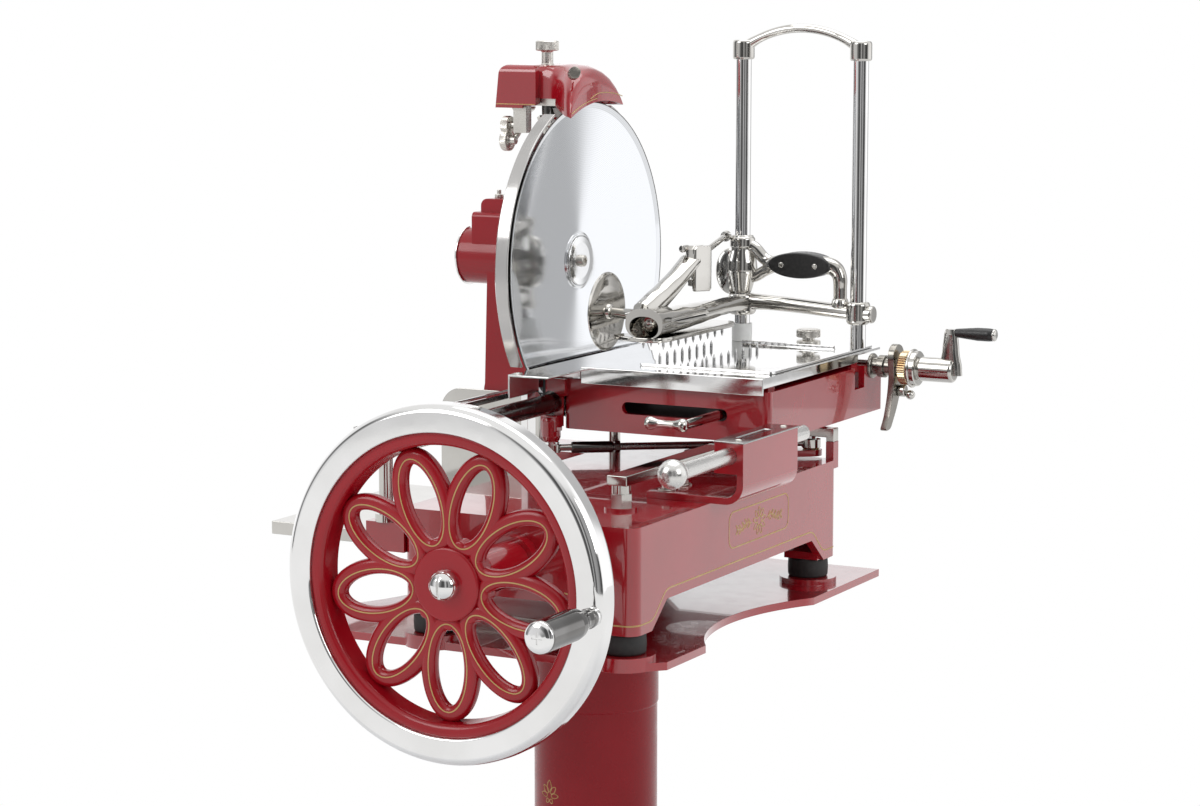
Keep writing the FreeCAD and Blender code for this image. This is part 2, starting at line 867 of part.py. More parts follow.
def roller_fork():
    axle_z = rail_top + seat_gap + roller_radius
    y = roller_y
    pieces = [bar(3, V(rail_x - 12, y, axle_z), V(rail_x + 12, y, axle_z))]
    for x in (rail_x - 11, rail_x + 7):
        pieces.append(box(x, x + 4, y - 9, y + 9, axle_z - 6, carriage_top - carriage_wall + 1))
    return pieces


def tables():
    flat = box(table_left, table_right, table_front, table_back, table_bottom, table_top)
    front = box(table_left, table_right, table_front, table_front + table_thick,
                table_top - front_lip, table_top)
    side = box(table_right - table_thick, table_right, table_front, table_back - 62,
               table_top - side_lip, table_top)
    shelf_top = table_bottom
    shelf = box(shelf_left, table_left, shelf_front, table_back, shelf_top - shelf_thick, shelf_top)
    fold = box(shelf_left, shelf_left + 2, shelf_front, carriage_front - 15, shelf_top - shelf_fold,
               shelf_top)
    tie = box(table_left - 5, table_left + 12, table_front, table_back,
              shelf_top - shelf_thick, shelf_top)
    support = box(shelf_left + 5, carriage_left + 20, carriage_front + 2, carriage_back - 24,
                  carriage_top, shelf_top - shelf_thick)
    slot = box(nut_left - feed_travel - 1, nut_left + nut_width + 1, feed_y - 9, feed_y + 9,
               table_bottom - 5, table_top + 5)
    sheets = join(flat, front, side, shelf, fold, tie, support)
    save("table_plate", sheets.cut(slot))
    nut = box(nut_left, nut_left + nut_width, feed_y - 12, feed_y + 12, feed_z - 9, table_bottom - 1)
    neck = box(nut_left, nut_left + nut_width, feed_y - 8.5, feed_y + 8.5, table_bottom - 1,
               table_top + slide_gap)
    bore = bar(screw_radius + running_gap, feed_centre(nut_left - 5), feed_centre(nut_left + nut_width + 5))
    save("feed_nut", join(nut, neck).cut(bore))


def meat_plate():
    low = table_top + slide_gap
    top = low + meat_plate_thick
    flat = box(meat_plate_left, meat_plate_right, meat_plate_front, meat_plate_back, low, top)
    flat = round_edges(flat, 5, Z)
    ledge = box(meat_plate_left + 24, meat_plate_right - 22, meat_plate_back - 60,
                meat_plate_back - 56, top, top + 4)
    save("meat_plate", join(flat, ledge))
    spikes = []
    first_row = post_left_x + spike_row_offset
    for x in (first_row, first_row + spike_row_step):
        for k in range(spike_count):
            y = meat_plate_front + spike_start + spike_pitch * k
            base = V(x, y, top)
            shoulder = base + Z * (spike_height - spike_tip)
            spike = join(bar(spike_radius, base, shoulder),
                         taper(spike_radius, 0.3, shoulder, base + Z * spike_height))
            spikes.append(spike)
    save("table_spikes", *spikes)
    posts = []
    for x in (post_left_x, post_right_x):
        posts.append(bar(post_radius, V(x, post_y, top), V(x, post_y, post_top - cap_height)))
    save("clamp_posts", *posts)
    nylon = tube(sleeve_nylon_radius, post_radius, V(post_left_x, post_y, top),
                 V(post_left_x, post_y, top + sleeve_nylon_height))
    save("nylon_stop", nylon)
    caps = []
    for x in (post_left_x, post_right_x):
        caps.append(bar(cap_radius, V(x, post_y, post_top - cap_height), V(x, post_y, post_top)))
    arch_z = post_top - arch_drop
    left = V(post_left_x, post_y, arch_z)
    right = V(post_right_x, post_y, arch_z)
    middle = V((post_left_x + post_right_x) / 2, post_y, arch_z + arch_rise)
    path = Part.Wire([Part.Arc(left, middle, right).toShape()])
    start_way = path.Edges[0].tangentAt(path.Edges[0].FirstParameter)
    ring = Part.Wire([Part.Circle(left, start_way, arch_radius).toShape()])
    arch = path.makePipeShell([ring], True, False)
    save("post_arch", join(caps[0], caps[1], arch))


def table_knob():
    base = V(97, 322, table_top + slide_gap + meat_plate_thick + seat_gap)
    knob = turned([
        (0, 0),
        (0, 8),
        (3, 8),
        (3, 5),
        (8, 5),
        (8, 13.5),
        (17, 13.5),
        (19, 12),
        (19, 0),
    ], base, Z, X)
    save("table_knob", knob)


# ---------------------------------------------------------------- meat clamp

def clamp_bar():
    left = V(post_left_x, post_y, clamp_bar_z)
    right = V(post_right_x, post_y, clamp_bar_z)
    holes = []
    for x in (post_left_x, post_right_x):
        holes.append(bar(post_radius + running_gap, V(x, post_y, table_top + 30), V(x, post_y, post_top)))
    right_boss = bar(clamp_boss_radius, right - Z * 12, right + Z * 12)
    left_boss = bar(clamp_boss_radius + 1, left - Z * 12, left + Z * 12)
    beam = bar(clamp_bar_radius, left, right)
    # arm that runs forward from the left post and comes down to the leaf
    elbow = V(post_left_x, post_y - 60, clamp_bar_z - 2)
    tail = V(post_left_x, leaf_front + leaf_length - 30, leaf_z + leaf_thick / 2 + 4)
    forward = join(bar(clamp_bar_radius, left, elbow), ball(clamp_bar_radius, elbow),
                   bar(clamp_bar_radius, elbow, tail), ball(clamp_bar_radius, tail))
    middle_x = (leaf_left + leaf_right) / 2
    half = (leaf_right - leaf_left) / 2
    nose = V(middle_x, leaf_front + half, leaf_z)
    leaf = box(leaf_left, leaf_right, leaf_front, leaf_front + leaf_length, leaf_z, leaf_z + leaf_thick)
    front_edges = []
    for edge in leaf.Edges:
        if abs(edge.tangentAt(edge.FirstParameter).z) > 0.99 and edge.CenterOfMass.y < nose.y:
            front_edges.append(edge)
    leaf = leaf.makeFillet(half - 1.5, front_edges)
    spine_z = leaf_z + leaf_thick + 1
    spine = bar(leaf_thick, V(nose.x, nose.y, spine_z), V(middle_x, leaf_front + leaf_length - 20, spine_z))
    body = join(beam, right_boss, left_boss, forward, leaf, spine).cut(holes)
    save("clamp_bar", body)
    spikes = []
    for x in (middle_x - leaf_spike_spread, middle_x + leaf_spike_spread):
        for k in range(leaf_spike_count):
            foot = V(x, nose.y + leaf_spike_start + leaf_spike_pitch * k, leaf_z)
            tip = foot - Z * leaf_spike_height
            shoulder = tip + Z * spike_tip
            spikes.append(join(bar(leaf_spike_radius, foot, shoulder),
                               taper(leaf_spike_radius, 0.3, shoulder, tip)))
    save("clamp_spikes", *spikes)


def clamp_head():
    # tall clamping body on the left post, above the bar
    post = V(post_left_x, post_y, clamp_bar_z + 12)
    top = post + Z * clamp_head_height
    body = join(
        bar(clamp_neck_radius, post, top),
        taper(clamp_neck_radius, clamp_belly_radius, post + Z * 6, post + Z * clamp_belly_rise),
        taper(clamp_belly_radius, clamp_neck_radius, post + Z * clamp_belly_rise, top - Z * 9))
    half = clamp_fin_depth / 2
    fin = box(post_left_x - clamp_fin_reach, post_left_x, post_y - half, post_y + half,
              post.z + clamp_fin_inset, top.z - clamp_fin_inset)
    fin = round_edges(fin, 7, Z)
    hole = bar(post_radius + running_gap, post - Z * 5, top + Z * 5)
    bridge_z = handle_z + 8
    leg_x = post_right_x - clamp_boss_radius - handle_post_radius - 1
    elbow = V(handle_elbow_x, post_y, handle_z)
    bend = V(handle_bend_x, post_y, handle_z + 2)
    corner = V(leg_x, post_y, handle_z - 12)
    stem = join(
        bar(handle_post_radius, V(post_left_x + 6, post_y, bridge_z + 10), elbow),
        bar(handle_post_radius, V(post_left_x + 6, post_y, handle_z - 18), elbow),
        ball(handle_post_radius, elbow),
        bar(handle_post_radius, elbow, bend),
        ball(handle_post_radius, bend),
        bar(handle_post_radius, bend, corner),
        ball(handle_post_radius, corner),
        bar(handle_post_radius, corner, V(leg_x, post_y, clamp_bar_z + clamp_bar_radius)))
    head = join(body, fin, stem).cut(hole)
    bed = box(post_left_x - 60, post_right_x + 50, post_y - 40, post_y + 40, clamp_bar_z - 30,
              clamp_bar_z + clamp_bar_radius)
    head = head.cut([bed, grip_oval()])
    screws = []
    for x in (grip_middle() - oval_screw_spread, grip_middle() + oval_screw_spread):
        for side in (-1, 1):
            seat = V(x, post_y + side * oval_thick / 2, handle_z + 1)
            screws.append(bar(3, seat, seat + Y * (side * 1.4)))
    save("clamp_grip", grip_oval())
    save("clamp_head", *(head.Solids + screws))


def grip_middle():
    return (handle_elbow_x + handle_bend_x) / 2


def grip_oval():
    curve = Part.Ellipse(V(0, 0, 0), oval_half_length, oval_half_height)
    face = Part.Face(Part.Wire([curve.toShape()]))
    slab = face.extrude(V(0, 0, oval_thick))
    slab.rotate(V(0, 0, 0), X, 90)
    slab.translate(V(grip_middle(), post_y + oval_thick / 2, handle_z + 1))
    return slab


def clamp_guard():
    # round guard in front of the knife, its inclined arm and the stay to the left post
    centre = V(disc_guard_x, disc_guard_y, disc_guard_z)
    disc = bar(disc_guard_radius, centre, centre + X * disc_guard_thick)
    stud = bar(6, centre + X * disc_guard_thick, V(leaf_left + 10, disc_guard_y, disc_guard_z - 4))
    save("guard_disc", disc)
    leaf_middle = (leaf_left + leaf_right) / 2
    leaf_top = leaf_z + leaf_thick
    foot = V(leaf_middle - 5.5, leaf_front + 30, leaf_top + 8)
    head = V(leaf_middle - 3.5, clamp_arm_y, leaf_z + clamp_arm_rise)
    socket = ball(12, V(leaf_middle - 7.5, disc_guard_y, disc_guard_z - 8))
    arm = join(
        taper(11, 8, foot, head),
        socket,
        stud,
        box(head.x - 4, head.x + 5, head.y - 14, head.y + 12, head.z - 18, head.z + 14))
    space = arm_clear_space
    keep_out = box(leaf_left - space, leaf_right + space, leaf_front - space, post_y - 5,
                   leaf_z - space, leaf_top)
    spine = bar(8, V(leaf_middle, leaf_front + 10, leaf_top + 1),
                V(leaf_middle, leaf_front + leaf_length - 14, leaf_top + 1))
    stay_start = V(head.x, head.y + 12, head.z)
    stay_end = V(post_left_x - 16, post_y, clamp_bar_z + clamp_head_height + 6)
    stay = bar(3.5, stay_start - Y * 4, stay_end)
    post_space = bar(13, V(post_left_x, post_y, clamp_bar_z), V(post_left_x, post_y, post_top))
    arm = join(arm.cut([keep_out, spine, disc]), stay.cut(post_space))
    save("clamp_arm", arm)
    knob = turned([
        (0, 0),
        (0, 4),
        (5, 4),
        (5, 7),
        (13, 7),
        (13, 0),
    ], V(head.x, head.y - 1, head.z - 18 - seat_gap), Z * -1, X)
    save("clamp_screw", knob)


# ---------------------------------------------------------------- knife

def knife_centre(x):
    return V(x, knife_y, knife_z)


def knife():
    blade = turned([
        (0, knife_radius - 0.6),
        (-0.6, knife_radius),
        (-1.4, knife_radius),
        (-6, knife_radius - 14),
        (-knife_thick, knife_radius - 24),
        (-knife_thick - 5, 60),
        (-knife_thick - 5, knife_shaft_radius),
        (-13, knife_shaft_radius),
        (-13, 34),
        (-9, 70),
        (-4, 120),
        (-1.5, 156),
    ], knife_centre(knife_x), X, Y)
    save("knife_blade", blade)
    plate = turned([
        (-13, 0),
        (-13, hub_plate_radius),
        (-11, hub_plate_radius),
        (-8.5, hub_plate_radius - 3),
        (-7.5, 8),
        (-7.5, 0),
    ], knife_centre(knife_x), X, Y)
    screw = bar(6.5, knife_centre(knife_x - 7.5), knife_centre(knife_x - 4.5))
    socket = hexagon(6, knife_centre(knife_x - 6.5), 4, Y, Z)
    save("knife_hub_plate", join(plate, screw).cut(socket))
    shaft = bar(knife_shaft_radius, knife_centre(housing_left + 12), knife_centre(knife_x - 13))
    save("knife_shaft", shaft)


def blade_column():
    right = knife_x - guard_width - 4
    housing = bar(housing_radius, knife_centre(housing_left), knife_centre(right))
    depth = neck_depth / 2
    low = arm_top_block
    neck = prism([
        V(neck_left - 12, knife_y - depth - 4, low),
        V(neck_left + 2, knife_y - depth - 4, low + 70),
        V(neck_left + 6, knife_y - depth - 4, knife_z),
        V(neck_right, knife_y - depth - 4, knife_z),
        V(neck_right + 14, knife_y - depth - 4, low),
    ], Y * (neck_depth + 8))
    case = box(neck_left - 14, neck_right + 20, knife_y - 27, knife_y + 27, knife_z + 10, knife_z + 51)
    case = round_edges(case, 6, X)
    step = box(neck_left - 6, neck_right + 12, knife_y - 20, knife_y + 20, knife_z + 40,
               knife_z + column_top_height)
    step = round_edges(step, 8, Y)
    knob_x = knife_x - sharpener_set
    post = box(knob_x - 9, knob_x + 9, knife_y + 4, knife_y + 20, knife_z + column_top_height - 12,
               knife_z + cover_top - 3 - cover_wall)
    foot = box(neck_right, knob_x + 9, knife_y + 4, knife_y + 20,
               knife_z + column_top_height - 12, knife_z + column_top_height + 4)
    body = join(housing, neck, case, step, foot, post)
    body = body.cut(bar(knife_shaft_radius + running_gap, knife_centre(housing_left - 5),
                        knife_centre(right + 5)))
    save("blade_column", body)
    ring = bar(housing_radius + 2, knife_centre(housing_left - 7), knife_centre(housing_left))
    dish = bar(knife_shaft_radius + 8, knife_centre(housing_left - 9), knife_centre(housing_left - 5))
    save("bearing_ring", ring.cut(dish))


def column_screw():
    screw = join(bar(5, V(neck_left + 24, knife_y, knife_z + column_top_height),
                     V(neck_left + 24, knife_y, knife_z + column_top_height + 4)),
                 bar(2.5, V(neck_left + 24, knife_y, knife_z + column_top_height),
                     V(neck_left + 24, knife_y, knife_z + column_top_height + 9)))
    return screw


def knife_guard():
    inner = knife_radius + guard_gap
    outer = inner + guard_thick
    start = 115
    stop = 214
    band = arc_strip(inner, outer, knife_x - guard_width, knife_x, start, stop, knife_y, knife_z)
    back = arc_strip(inner, outer, knife_x - guard_width, knife_x - 8, 300, 428, knife_y, knife_z)
    # web behind the knife that carries both bands from the column
    web_x = knife_x - guard_width
    web = arc_strip(40, outer, web_x - 3, web_x, start, stop, knife_y, knife_z)
    web_back = arc_strip(40, outer, web_x - 3, web_x, 300, 428, knife_y, knife_z)
    hub = tube(56, housing_radius, knife_centre(web_x - 9), knife_centre(web_x))
    save("knife_guard", join(band, back, web, web_back, hub))


# ---------------------------------------------------------------- sharpener

def sharpener():
    top = knife_z + cover_top
    bottom = knife_z + cover_bottom
    left = cover_left
    right = cover_right
    wall = cover_wall
    shell = box(left, knife_x - 24, knife_y + box_front, knife_y + box_back, bottom, top - 3)
    shell = round_edges(shell, 9, X)
    inside = box(left + wall, knife_x, knife_y + box_front + wall, knife_y + box_back - wall,
                 bottom - 5, top - 3 - wall)
    # helmet that follows the knife's edge
    def side(points):
        return [V(knife_x - 27, knife_y + y, knife_z + z) for y, z in points]
    edge = knife_radius
    helmet = prism(side([
        (fender_front, edge - 17),
        (fender_front + 6, edge + 21),
        (fender_front + 28, edge + 36),
        (fender_front + 54, cover_top),
        (fender_back - 44, cover_top - 4),
        (fender_back - 20, edge + 25),
        (fender_back, edge + 7),
        (fender_back - 2, edge - 17),
    ]), X * (right - knife_x + 27))
    under = bar(edge + 1.5, knife_centre(knife_x - 40), knife_centre(right + 5))
    core = prism([V(knife_x - 24, knife_y + y, knife_z + z) for y, z in (
        (fender_front + 3, edge - 25),
        (fender_front + 8, edge + 17),
        (fender_front + 30, edge + 32),
        (fender_front + 55, cover_top - 4),
        (fender_back - 46, cover_top - 8),
        (fender_back - 22, edge + 22),
        (fender_back - 4, edge + 5),
        (fender_back - 5, edge - 25),
    )], X * (right - knife_x + 24 - wall))
    cover = join(shell, helmet).cut([under, inside, core])
    save("sharpener_cover", cover)
    return top, bottom


def sharpener_parts(top, bottom):
    lid = top - 3
    knob_x = knife_x - sharpener_set
    stem = V(knob_x, knife_y, lid)
    knob = turned([
        (seat_gap, 0),
        (seat_gap, 5.5),
        (3, 5.5),
        (3, 4),
        (9, 4),
        (9, 7),
        (11, 7),
        (11, 12),
        (20, 12),
        (20, 0),
    ], stem, Z, X)
    save("sharpener_knob", knob)
    carrier = box(knob_x + 10, knife_x - 4, knife_y - 30, knife_y - 12, bottom + 4, bottom + 16)
    link = box(knob_x - 12, knob_x + 14, knife_y - 30, knife_y + 4, bottom + 4, bottom + 16)
    stone_y = knife_y - 21
    head = V(knife_x - 20, stone_y, bottom + 4 - seat_gap)
    stone = turned([
        (0, 0),
        (0, 4),
        (2, 4),
        (2, stone_radius),
        (12, stone_radius - 3),
        (12, 0),
    ], head, Z * -1, X)
    save("grinding_stone", stone)
    bracket = join(
        carrier,
        link,
        box(knob_x - 24, knob_x - 8, knife_y - 34, knife_y - 22, bottom - 26, bottom + 20),
        bar(4, V(knob_x - 16, knife_y - 28, bottom + 16), V(knob_x - 16, knife_y + 8, bottom + 16)))
    save("stone_carrier", bracket)
    knob = turned([
        (0, 0),
        (0, 4),
        (6, 4),
        (6, 10),
        (15, 10),
        (15, 0),
    ], V(knob_x - 24 - seat_gap, knife_y - 28, bottom - 18), X * -1, Y)
    save("side_knob", knob)
    dome = V(cover_right, knife_y + fender_front + 30, knife_z + knife_radius + 24)
    return turned([
        (0, 0),
        (0, 3.5),
        (4, 3.5),
        (4, 7),
        (11, 7),
        (11, 0),
    ], dome, X, Y)


# ---------------------------------------------------------------- thickness control

def thickness_control(cover_screw):
    left = control_x - control_box_width / 2
    right = control_x + control_box_width / 2
    low = control_z - control_box_height + 13
    high = control_z + 13
    front = control_box_front
    back = control_box_back
    block = box(left, right, front, back, low, high)
    # strap that turns under the box and lies on the base
    bend = 20.0
    floor = base_top
    outer = [V(right, front, low + 4), V(right, front, floor + bend)]
    edges = [
        Part.LineSegment(outer[0], outer[1]).toShape(),
        Part.Arc(outer[1], V(right - bend * 0.2929, front, floor + bend * 0.2929),
                 V(right - bend, front, floor)).toShape(),
        Part.LineSegment(V(right - bend, front, floor), V(rail_x - 8, front, floor)).toShape(),
        Part.LineSegment(V(rail_x - 8, front, floor),
                         V(rail_x - 8, front, floor + strap_thick)).toShape(),
        Part.LineSegment(V(rail_x - 8, front, floor + strap_thick),
                         V(right - bend, front, floor + strap_thick)).toShape(),
    ]
    inner = bend - strap_thick
    edges.append(Part.Arc(V(right - bend, front, floor + strap_thick),
                          V(right - bend + inner * 0.7071, front, floor + bend - inner * 0.7071),
                          V(right - strap_thick, front, floor + bend)).toShape())
    edges.append(Part.LineSegment(V(right - strap_thick, front, floor + bend),
                                  V(right - strap_thick, front, low + 4)).toShape())
    edges.append(Part.LineSegment(V(right - strap_thick, front, low + 4), outer[0]).toShape())
    strap = Part.Face(Part.Wire(edges)).extrude(Y * (back - front))
    trim = box(rail_x - 20, left - 6, front + 66, back + 5, floor - 5, floor + 30)
    strap = strap.cut(trim)
    bore = bar(control_rod_radius + running_gap, V(control_x, front - 5, control_z),
               V(control_x, back + 5, control_z))
    save("thickness_housing", join(block, strap).cut(bore))
    plate = box(left - 1, right + 1, front - 1, back + 1, high, high + 1.6)
    groove = box(control_x - 6, control_x + 2, front + 28, back - 34, high + 0.8, high + 3)
    save("scale_plate", plate.cut(groove))
    screws = []
    for y in (front + 12, back - 12):
        seat = V(control_x + 5, y, high + 1.6)
        screws.append(bar(3.4, seat, seat + Z * 1.4))
    for x, y in ((rail_x + 8, front + 14), (rail_x + 8, front + 50)):
        seat = V(x, y, floor + strap_thick)
        screws.append(bar(9, seat, seat + Z * 1.5))
        screws.append(bar(5.5, seat + Z * 1.5, seat + Z * 5))
    merged = screws[:2]
    merged.append(join(screws[2], screws[3]))
    merged.append(join(screws[4], screws[5]))
    merged.append(column_screw())
    merged.append(cover_screw)
    save("machine_screws", *merged)
    rod = bar(control_rod_radius, V(control_x, control_front, control_z),
              V(control_x, control_back, control_z))
    knob = ball(control_ball_radius, V(control_x, control_front, control_z))
    save("thickness_rod", join(rod, knob))


# ---------------------------------------------------------------- feed screw

def feed_centre(x):
    return V(x, feed_y, feed_z)


def feed():
    face = carriage_right
    flange = join(bar(14, feed_centre(face), feed_centre(face + 4)),
                  bar(10, feed_centre(face), feed_centre(face + 14)))
    bush = bar(10, feed_centre(face + 4), feed_centre(trip_x + 7.5))
    hole = bar(screw_radius + running_gap, feed_centre(face - 5), feed_centre(face + 60))
    save("feed_flange", join(flange, bush).cut(hole))
    inner = screw_radius
    screw = bar(inner, feed_centre(screw_left + 3), feed_centre(feed_crank_x + 8))
    ratchet_start = trip_x + 8
    wheel = bar(ratchet_radius, feed_centre(ratchet_start), feed_centre(ratchet_start + 10))
    pieces = [screw, wheel]
    pieces.append(bar(feed_disc_radius, feed_centre(ratchet_start + 11.5), feed_centre(ratchet_start + 14)))
    pieces.append(bar(feed_disc_radius - 2, feed_centre(ratchet_start + 14),
                      feed_centre(ratchet_start + 20)))
    pieces.append(bar(12, feed_centre(ratchet_start + 10), feed_centre(ratchet_start + 30)))
    teeth = []
    for k in range(36):
        turn = math.radians(10 * k)
        out = V(0, math.cos(turn), math.sin(turn))
        teeth.append(bar(0.9, feed_centre(ratchet_start - 1) + out * ratchet_radius,
                         feed_centre(ratchet_start + 11) + out * ratchet_radius))
    ratchet = join(*pieces).cut(teeth)
    boss_start = ratchet_start + 22
    low = feed_centre(feed_crank_x + feed_arm_offset)
    high = low + Z * feed_throw
    half = feed_arm_thick / 2
    boss = bar(13.5, feed_centre(boss_start), low + X * half)
    arm = prism([
        low + V(-half, -11, 0),
        low + V(-half, 11, 0),
        high + V(-half, 7, 0),
        high + V(-half, -7, 0),
    ], X * feed_arm_thick)
    top = bar(7, high - X * half, high + X * half)
    save("feed_screw", ratchet)
    crank = join(boss, arm, top).cut(join(*pieces))
    face = high + X * half
    grip_pin = bar(3, face, face + X * (feed_grip_length - 8))
    save("feed_crank", join(crank, grip_pin))
    grip = turned([
        (seat_gap, 0),
        (seat_gap, 4.5),
        (8, 5),
        (feed_grip_length * 0.55, 7),
        (feed_grip_length * 0.9, 7),
        (feed_grip_length, 6),
        (feed_grip_length, 0),
    ], face, X, Y)
    hollow = bar(3 + running_gap, face - X, face + X * (feed_grip_length - 8 + seat_gap))
    save("feed_grip", grip.cut(hollow))


def trip_lever():
    near = feed_centre(trip_x - 3.5)
    outline = [
        (-13, 8),
        (-8, 17),
        (4, 20),
        (13, 12),
        (13, -8),
        (6, -26),
        (-6, -46),
        (-22, -66),
        (-34, -66),
        (-22, -44),
        (-14, -22),
    ]
    plate = prism([near + V(0, y, z) for y, z in outline], X * 8)
    bore = bar(10 + running_gap, near - X * 5, near + X * 20)
    plate = plate.cut(bore)
    pawl = bar(6, near + V(8, 1, -26), near + V(16, 1, -26))
    neck = box(near.x + 2, near.x + 8, feed_y - 3, feed_y + 8, feed_z - 32, feed_z - 20)
    tip = ball(5.5, near + V(21, 1, -30))
    link = bar(2.5, near + V(12, 1, -27), near + V(21, 1, -30))
    save("trip_lever", join(plate, neck, pawl, link, tip))


def release_lever():
    x = slot_right - 9.5
    front = carriage_front - 88
    stem = join(
        bar(5.5, V(x, front + 4, slot_z), V(x, carriage_front + 3, slot_z)),
        bar(4.2, V(x, carriage_front + 3, slot_z), V(x, carriage_front + 24, slot_z)))
    grip = turned([
        (-2, 0),
        (-2, 5),
        (4, 7),
        (12, 4.2),
        (32, 4.2),
        (40, 7),
        (46, 5),
        (46, 0),
    ], V(x + 3, front + 4, slot_z), X * -1, Z)
    save("release_lever", join(stem, grip))


def lever_block():
    x = slot_right - 9.5
    start = carriage_front + carriage_wall + 4
    return [box(x - 14, x + 14, start, start + 20, slot_z - 12, carriage_top - carriage_wall + 1)]


def lever_bore():
    x = slot_right - 9.5
    return bar(4.2 + running_gap, V(x, carriage_front + 3, slot_z), V(x, carriage_front + 60, slot_z))


# ---------------------------------------------------------------- tray side

def slice_side():
    low = tray_z - tray_thick
    flat = box(tray_left, tray_right, tray_front, tray_back, low, tray_z)
    folds = [
        box(tray_left, tray_right, tray_front, tray_front + tray_thick, tray_z - tray_fold, tray_z),
        box(tray_left, tray_left + tray_thick, tray_front, tray_back, tray_z - tray_fold, tray_z),
        box(tray_right - tray_thick, tray_right, tray_front, tray_back, tray_z - tray_fold, tray_z),
    ]
    save("slice_tray", join(flat, *folds))
    stop = box(stop_left, stop_right, tray_back, tray_back + 3, tray_z - tray_fold, stop_top)
    corners = []
    for edge in stop.Edges:
        middle = edge.CenterOfMass
        if abs(edge.tangentAt(edge.FirstParameter).y) > 0.99 and middle.z > stop_top - 1:
            corners.append(edge)
    save("slice_stop", stop.makeFillet(stop_corner, corners))
    side = gutter_width / 2
    front = base_front + 1
    channel = box(gutter_x - side, gutter_x + side, front, gutter_back, gutter_z - 1, gutter_z + 5)
    groove = box(gutter_x - side + 2, gutter_x + side - 2, front - 5, gutter_back - 8, gutter_z + 1,
                 gutter_z + 9)
    channel = round_edges(channel, 5, Z)
    stay = box(gutter_x - 4, gutter_x + 4, tray_back - 60, tray_back - 42, tray_z - tray_fold,
               gutter_z - 1)
    save("gutter", join(channel.cut(groove), stay))


os.makedirs("parts", exist_ok=True)
pedestal()
top_plate()
feet()
base_casting()
slide_rod()
rail()
shaft_cap = flywheel()
wheel_grip()
bevel_gears(shaft_cap)
crank_arm()
tie_rod()
carriage()
carriage_sleeve()
roller()
tables()
meat_plate()
table_knob()
clamp_bar()
clamp_head()
clamp_guard()
knife()
blade_column()
knife_guard()
cover_levels = sharpener()
cover_screw = sharpener_parts(cover_levels[0], cover_levels[1])
thickness_control(cover_screw)
feed()
trip_lever()
release_lever()
slice_side()
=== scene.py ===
import bpy
import bmesh
import contextlib
import json
from math import atan2, copysign, cos, pi, radians, sin, sqrt
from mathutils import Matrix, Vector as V


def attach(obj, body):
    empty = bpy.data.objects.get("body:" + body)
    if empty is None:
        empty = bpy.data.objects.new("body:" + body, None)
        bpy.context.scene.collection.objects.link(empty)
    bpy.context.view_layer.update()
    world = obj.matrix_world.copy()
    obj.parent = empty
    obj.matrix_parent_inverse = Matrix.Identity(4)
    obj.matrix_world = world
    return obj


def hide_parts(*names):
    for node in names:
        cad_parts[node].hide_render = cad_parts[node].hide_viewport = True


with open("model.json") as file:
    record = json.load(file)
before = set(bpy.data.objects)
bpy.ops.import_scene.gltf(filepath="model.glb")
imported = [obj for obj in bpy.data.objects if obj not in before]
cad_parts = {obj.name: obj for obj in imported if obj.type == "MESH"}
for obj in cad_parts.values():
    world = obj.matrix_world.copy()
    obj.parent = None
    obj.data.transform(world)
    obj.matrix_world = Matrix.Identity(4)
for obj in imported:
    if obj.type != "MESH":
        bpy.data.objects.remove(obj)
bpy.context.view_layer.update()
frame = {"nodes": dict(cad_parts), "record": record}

# Hand crank flywheel meat slicer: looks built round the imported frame. Metres, +Z up, the flywheel
# faces -Y.

# brightness of the studio round the object, by azimuth: 0 is behind it, 90 to its right
STUDIO = ((-180, 0.14), (-168, 0.26), (-158, 0.76), (-128, 0.86), (-112, 0.26), (-98, 0.12),
    (-84, 1), (-60, 1.2), (-14, 1.15), (-8, 0.58), (26.4, 0.56), (28.6, 1.3), (62, 1.3), (80, 0.9),
    (88, 0.08), (112, 0.08), (116, 0.36), (130, 0.42), (135, 0.1), (144, 0.12), (149, 0.55),
    (156, 0.55), (162, 0.12), (168, 0.08))
X, Y, Z = V((1, 0, 0)), V((0, 1, 0)), V((0, 0, 1))
MM = 0.001
# places that several pieces share, in millimetres
WHEEL_X, WHEEL_FRONT, WHEEL_Z = 45, -392, 870
GRIP_CIRCLE, GRIP_TURN, GRIP_FRONT = 163, radians(-4), -497
PETALS = 9
PETAL_STEP = 360 // PETALS
KNIFE_X, KNIFE_Y, KNIFE_Z = -105, 180, 1119
# the guard's front and back parts, degrees round the knife
GUARD_FRONT, GUARD_BACK = (115, 214), (-60, 68)
ROD_X, ROD_Z = -89.5, 976
LEVER_X, LEVER_Z = 108, 976
LEFT_POST, RIGHT_POST, POST_Y = 8.5, 151, 335
FEED_Y, FEED_Z = 340, 1001
TABLE_TOP = 1018
DIAL_X, DIAL_Z = 195, 961
SCALE_TOP = 974
COLUMN_RADIUS = 65
BASE_X, BASE_Y, BASE_HALF_X, BASE_HALF_Y, BASE_CORNER = 45, -9, 130, 239, 14
# how far painted lines stand off a face
PAINT = 0.1
ORNAMENT_X = 175.15
DRESS_BEVEL = 0.8 * MM
FLOOR_RADIUS, FLOOR_SIDES, FLOOR_DROP = 7, 64, 0.0005
LAMP_TARGET = V((0, 0, 1))
# the photo's camera as solved from its vanishing directions
CAMERA_PLACE, CAMERA_TURN, CAMERA_DIP, CAMERA_LENS = (1.483, -2.7658, 1.4376), 28.12, 8.11, 91.29


def v(x, y, z):
    # a point given in millimetres
    return V((x * MM, y * MM, z * MM))


# ------------------------------------------------------------------ materials


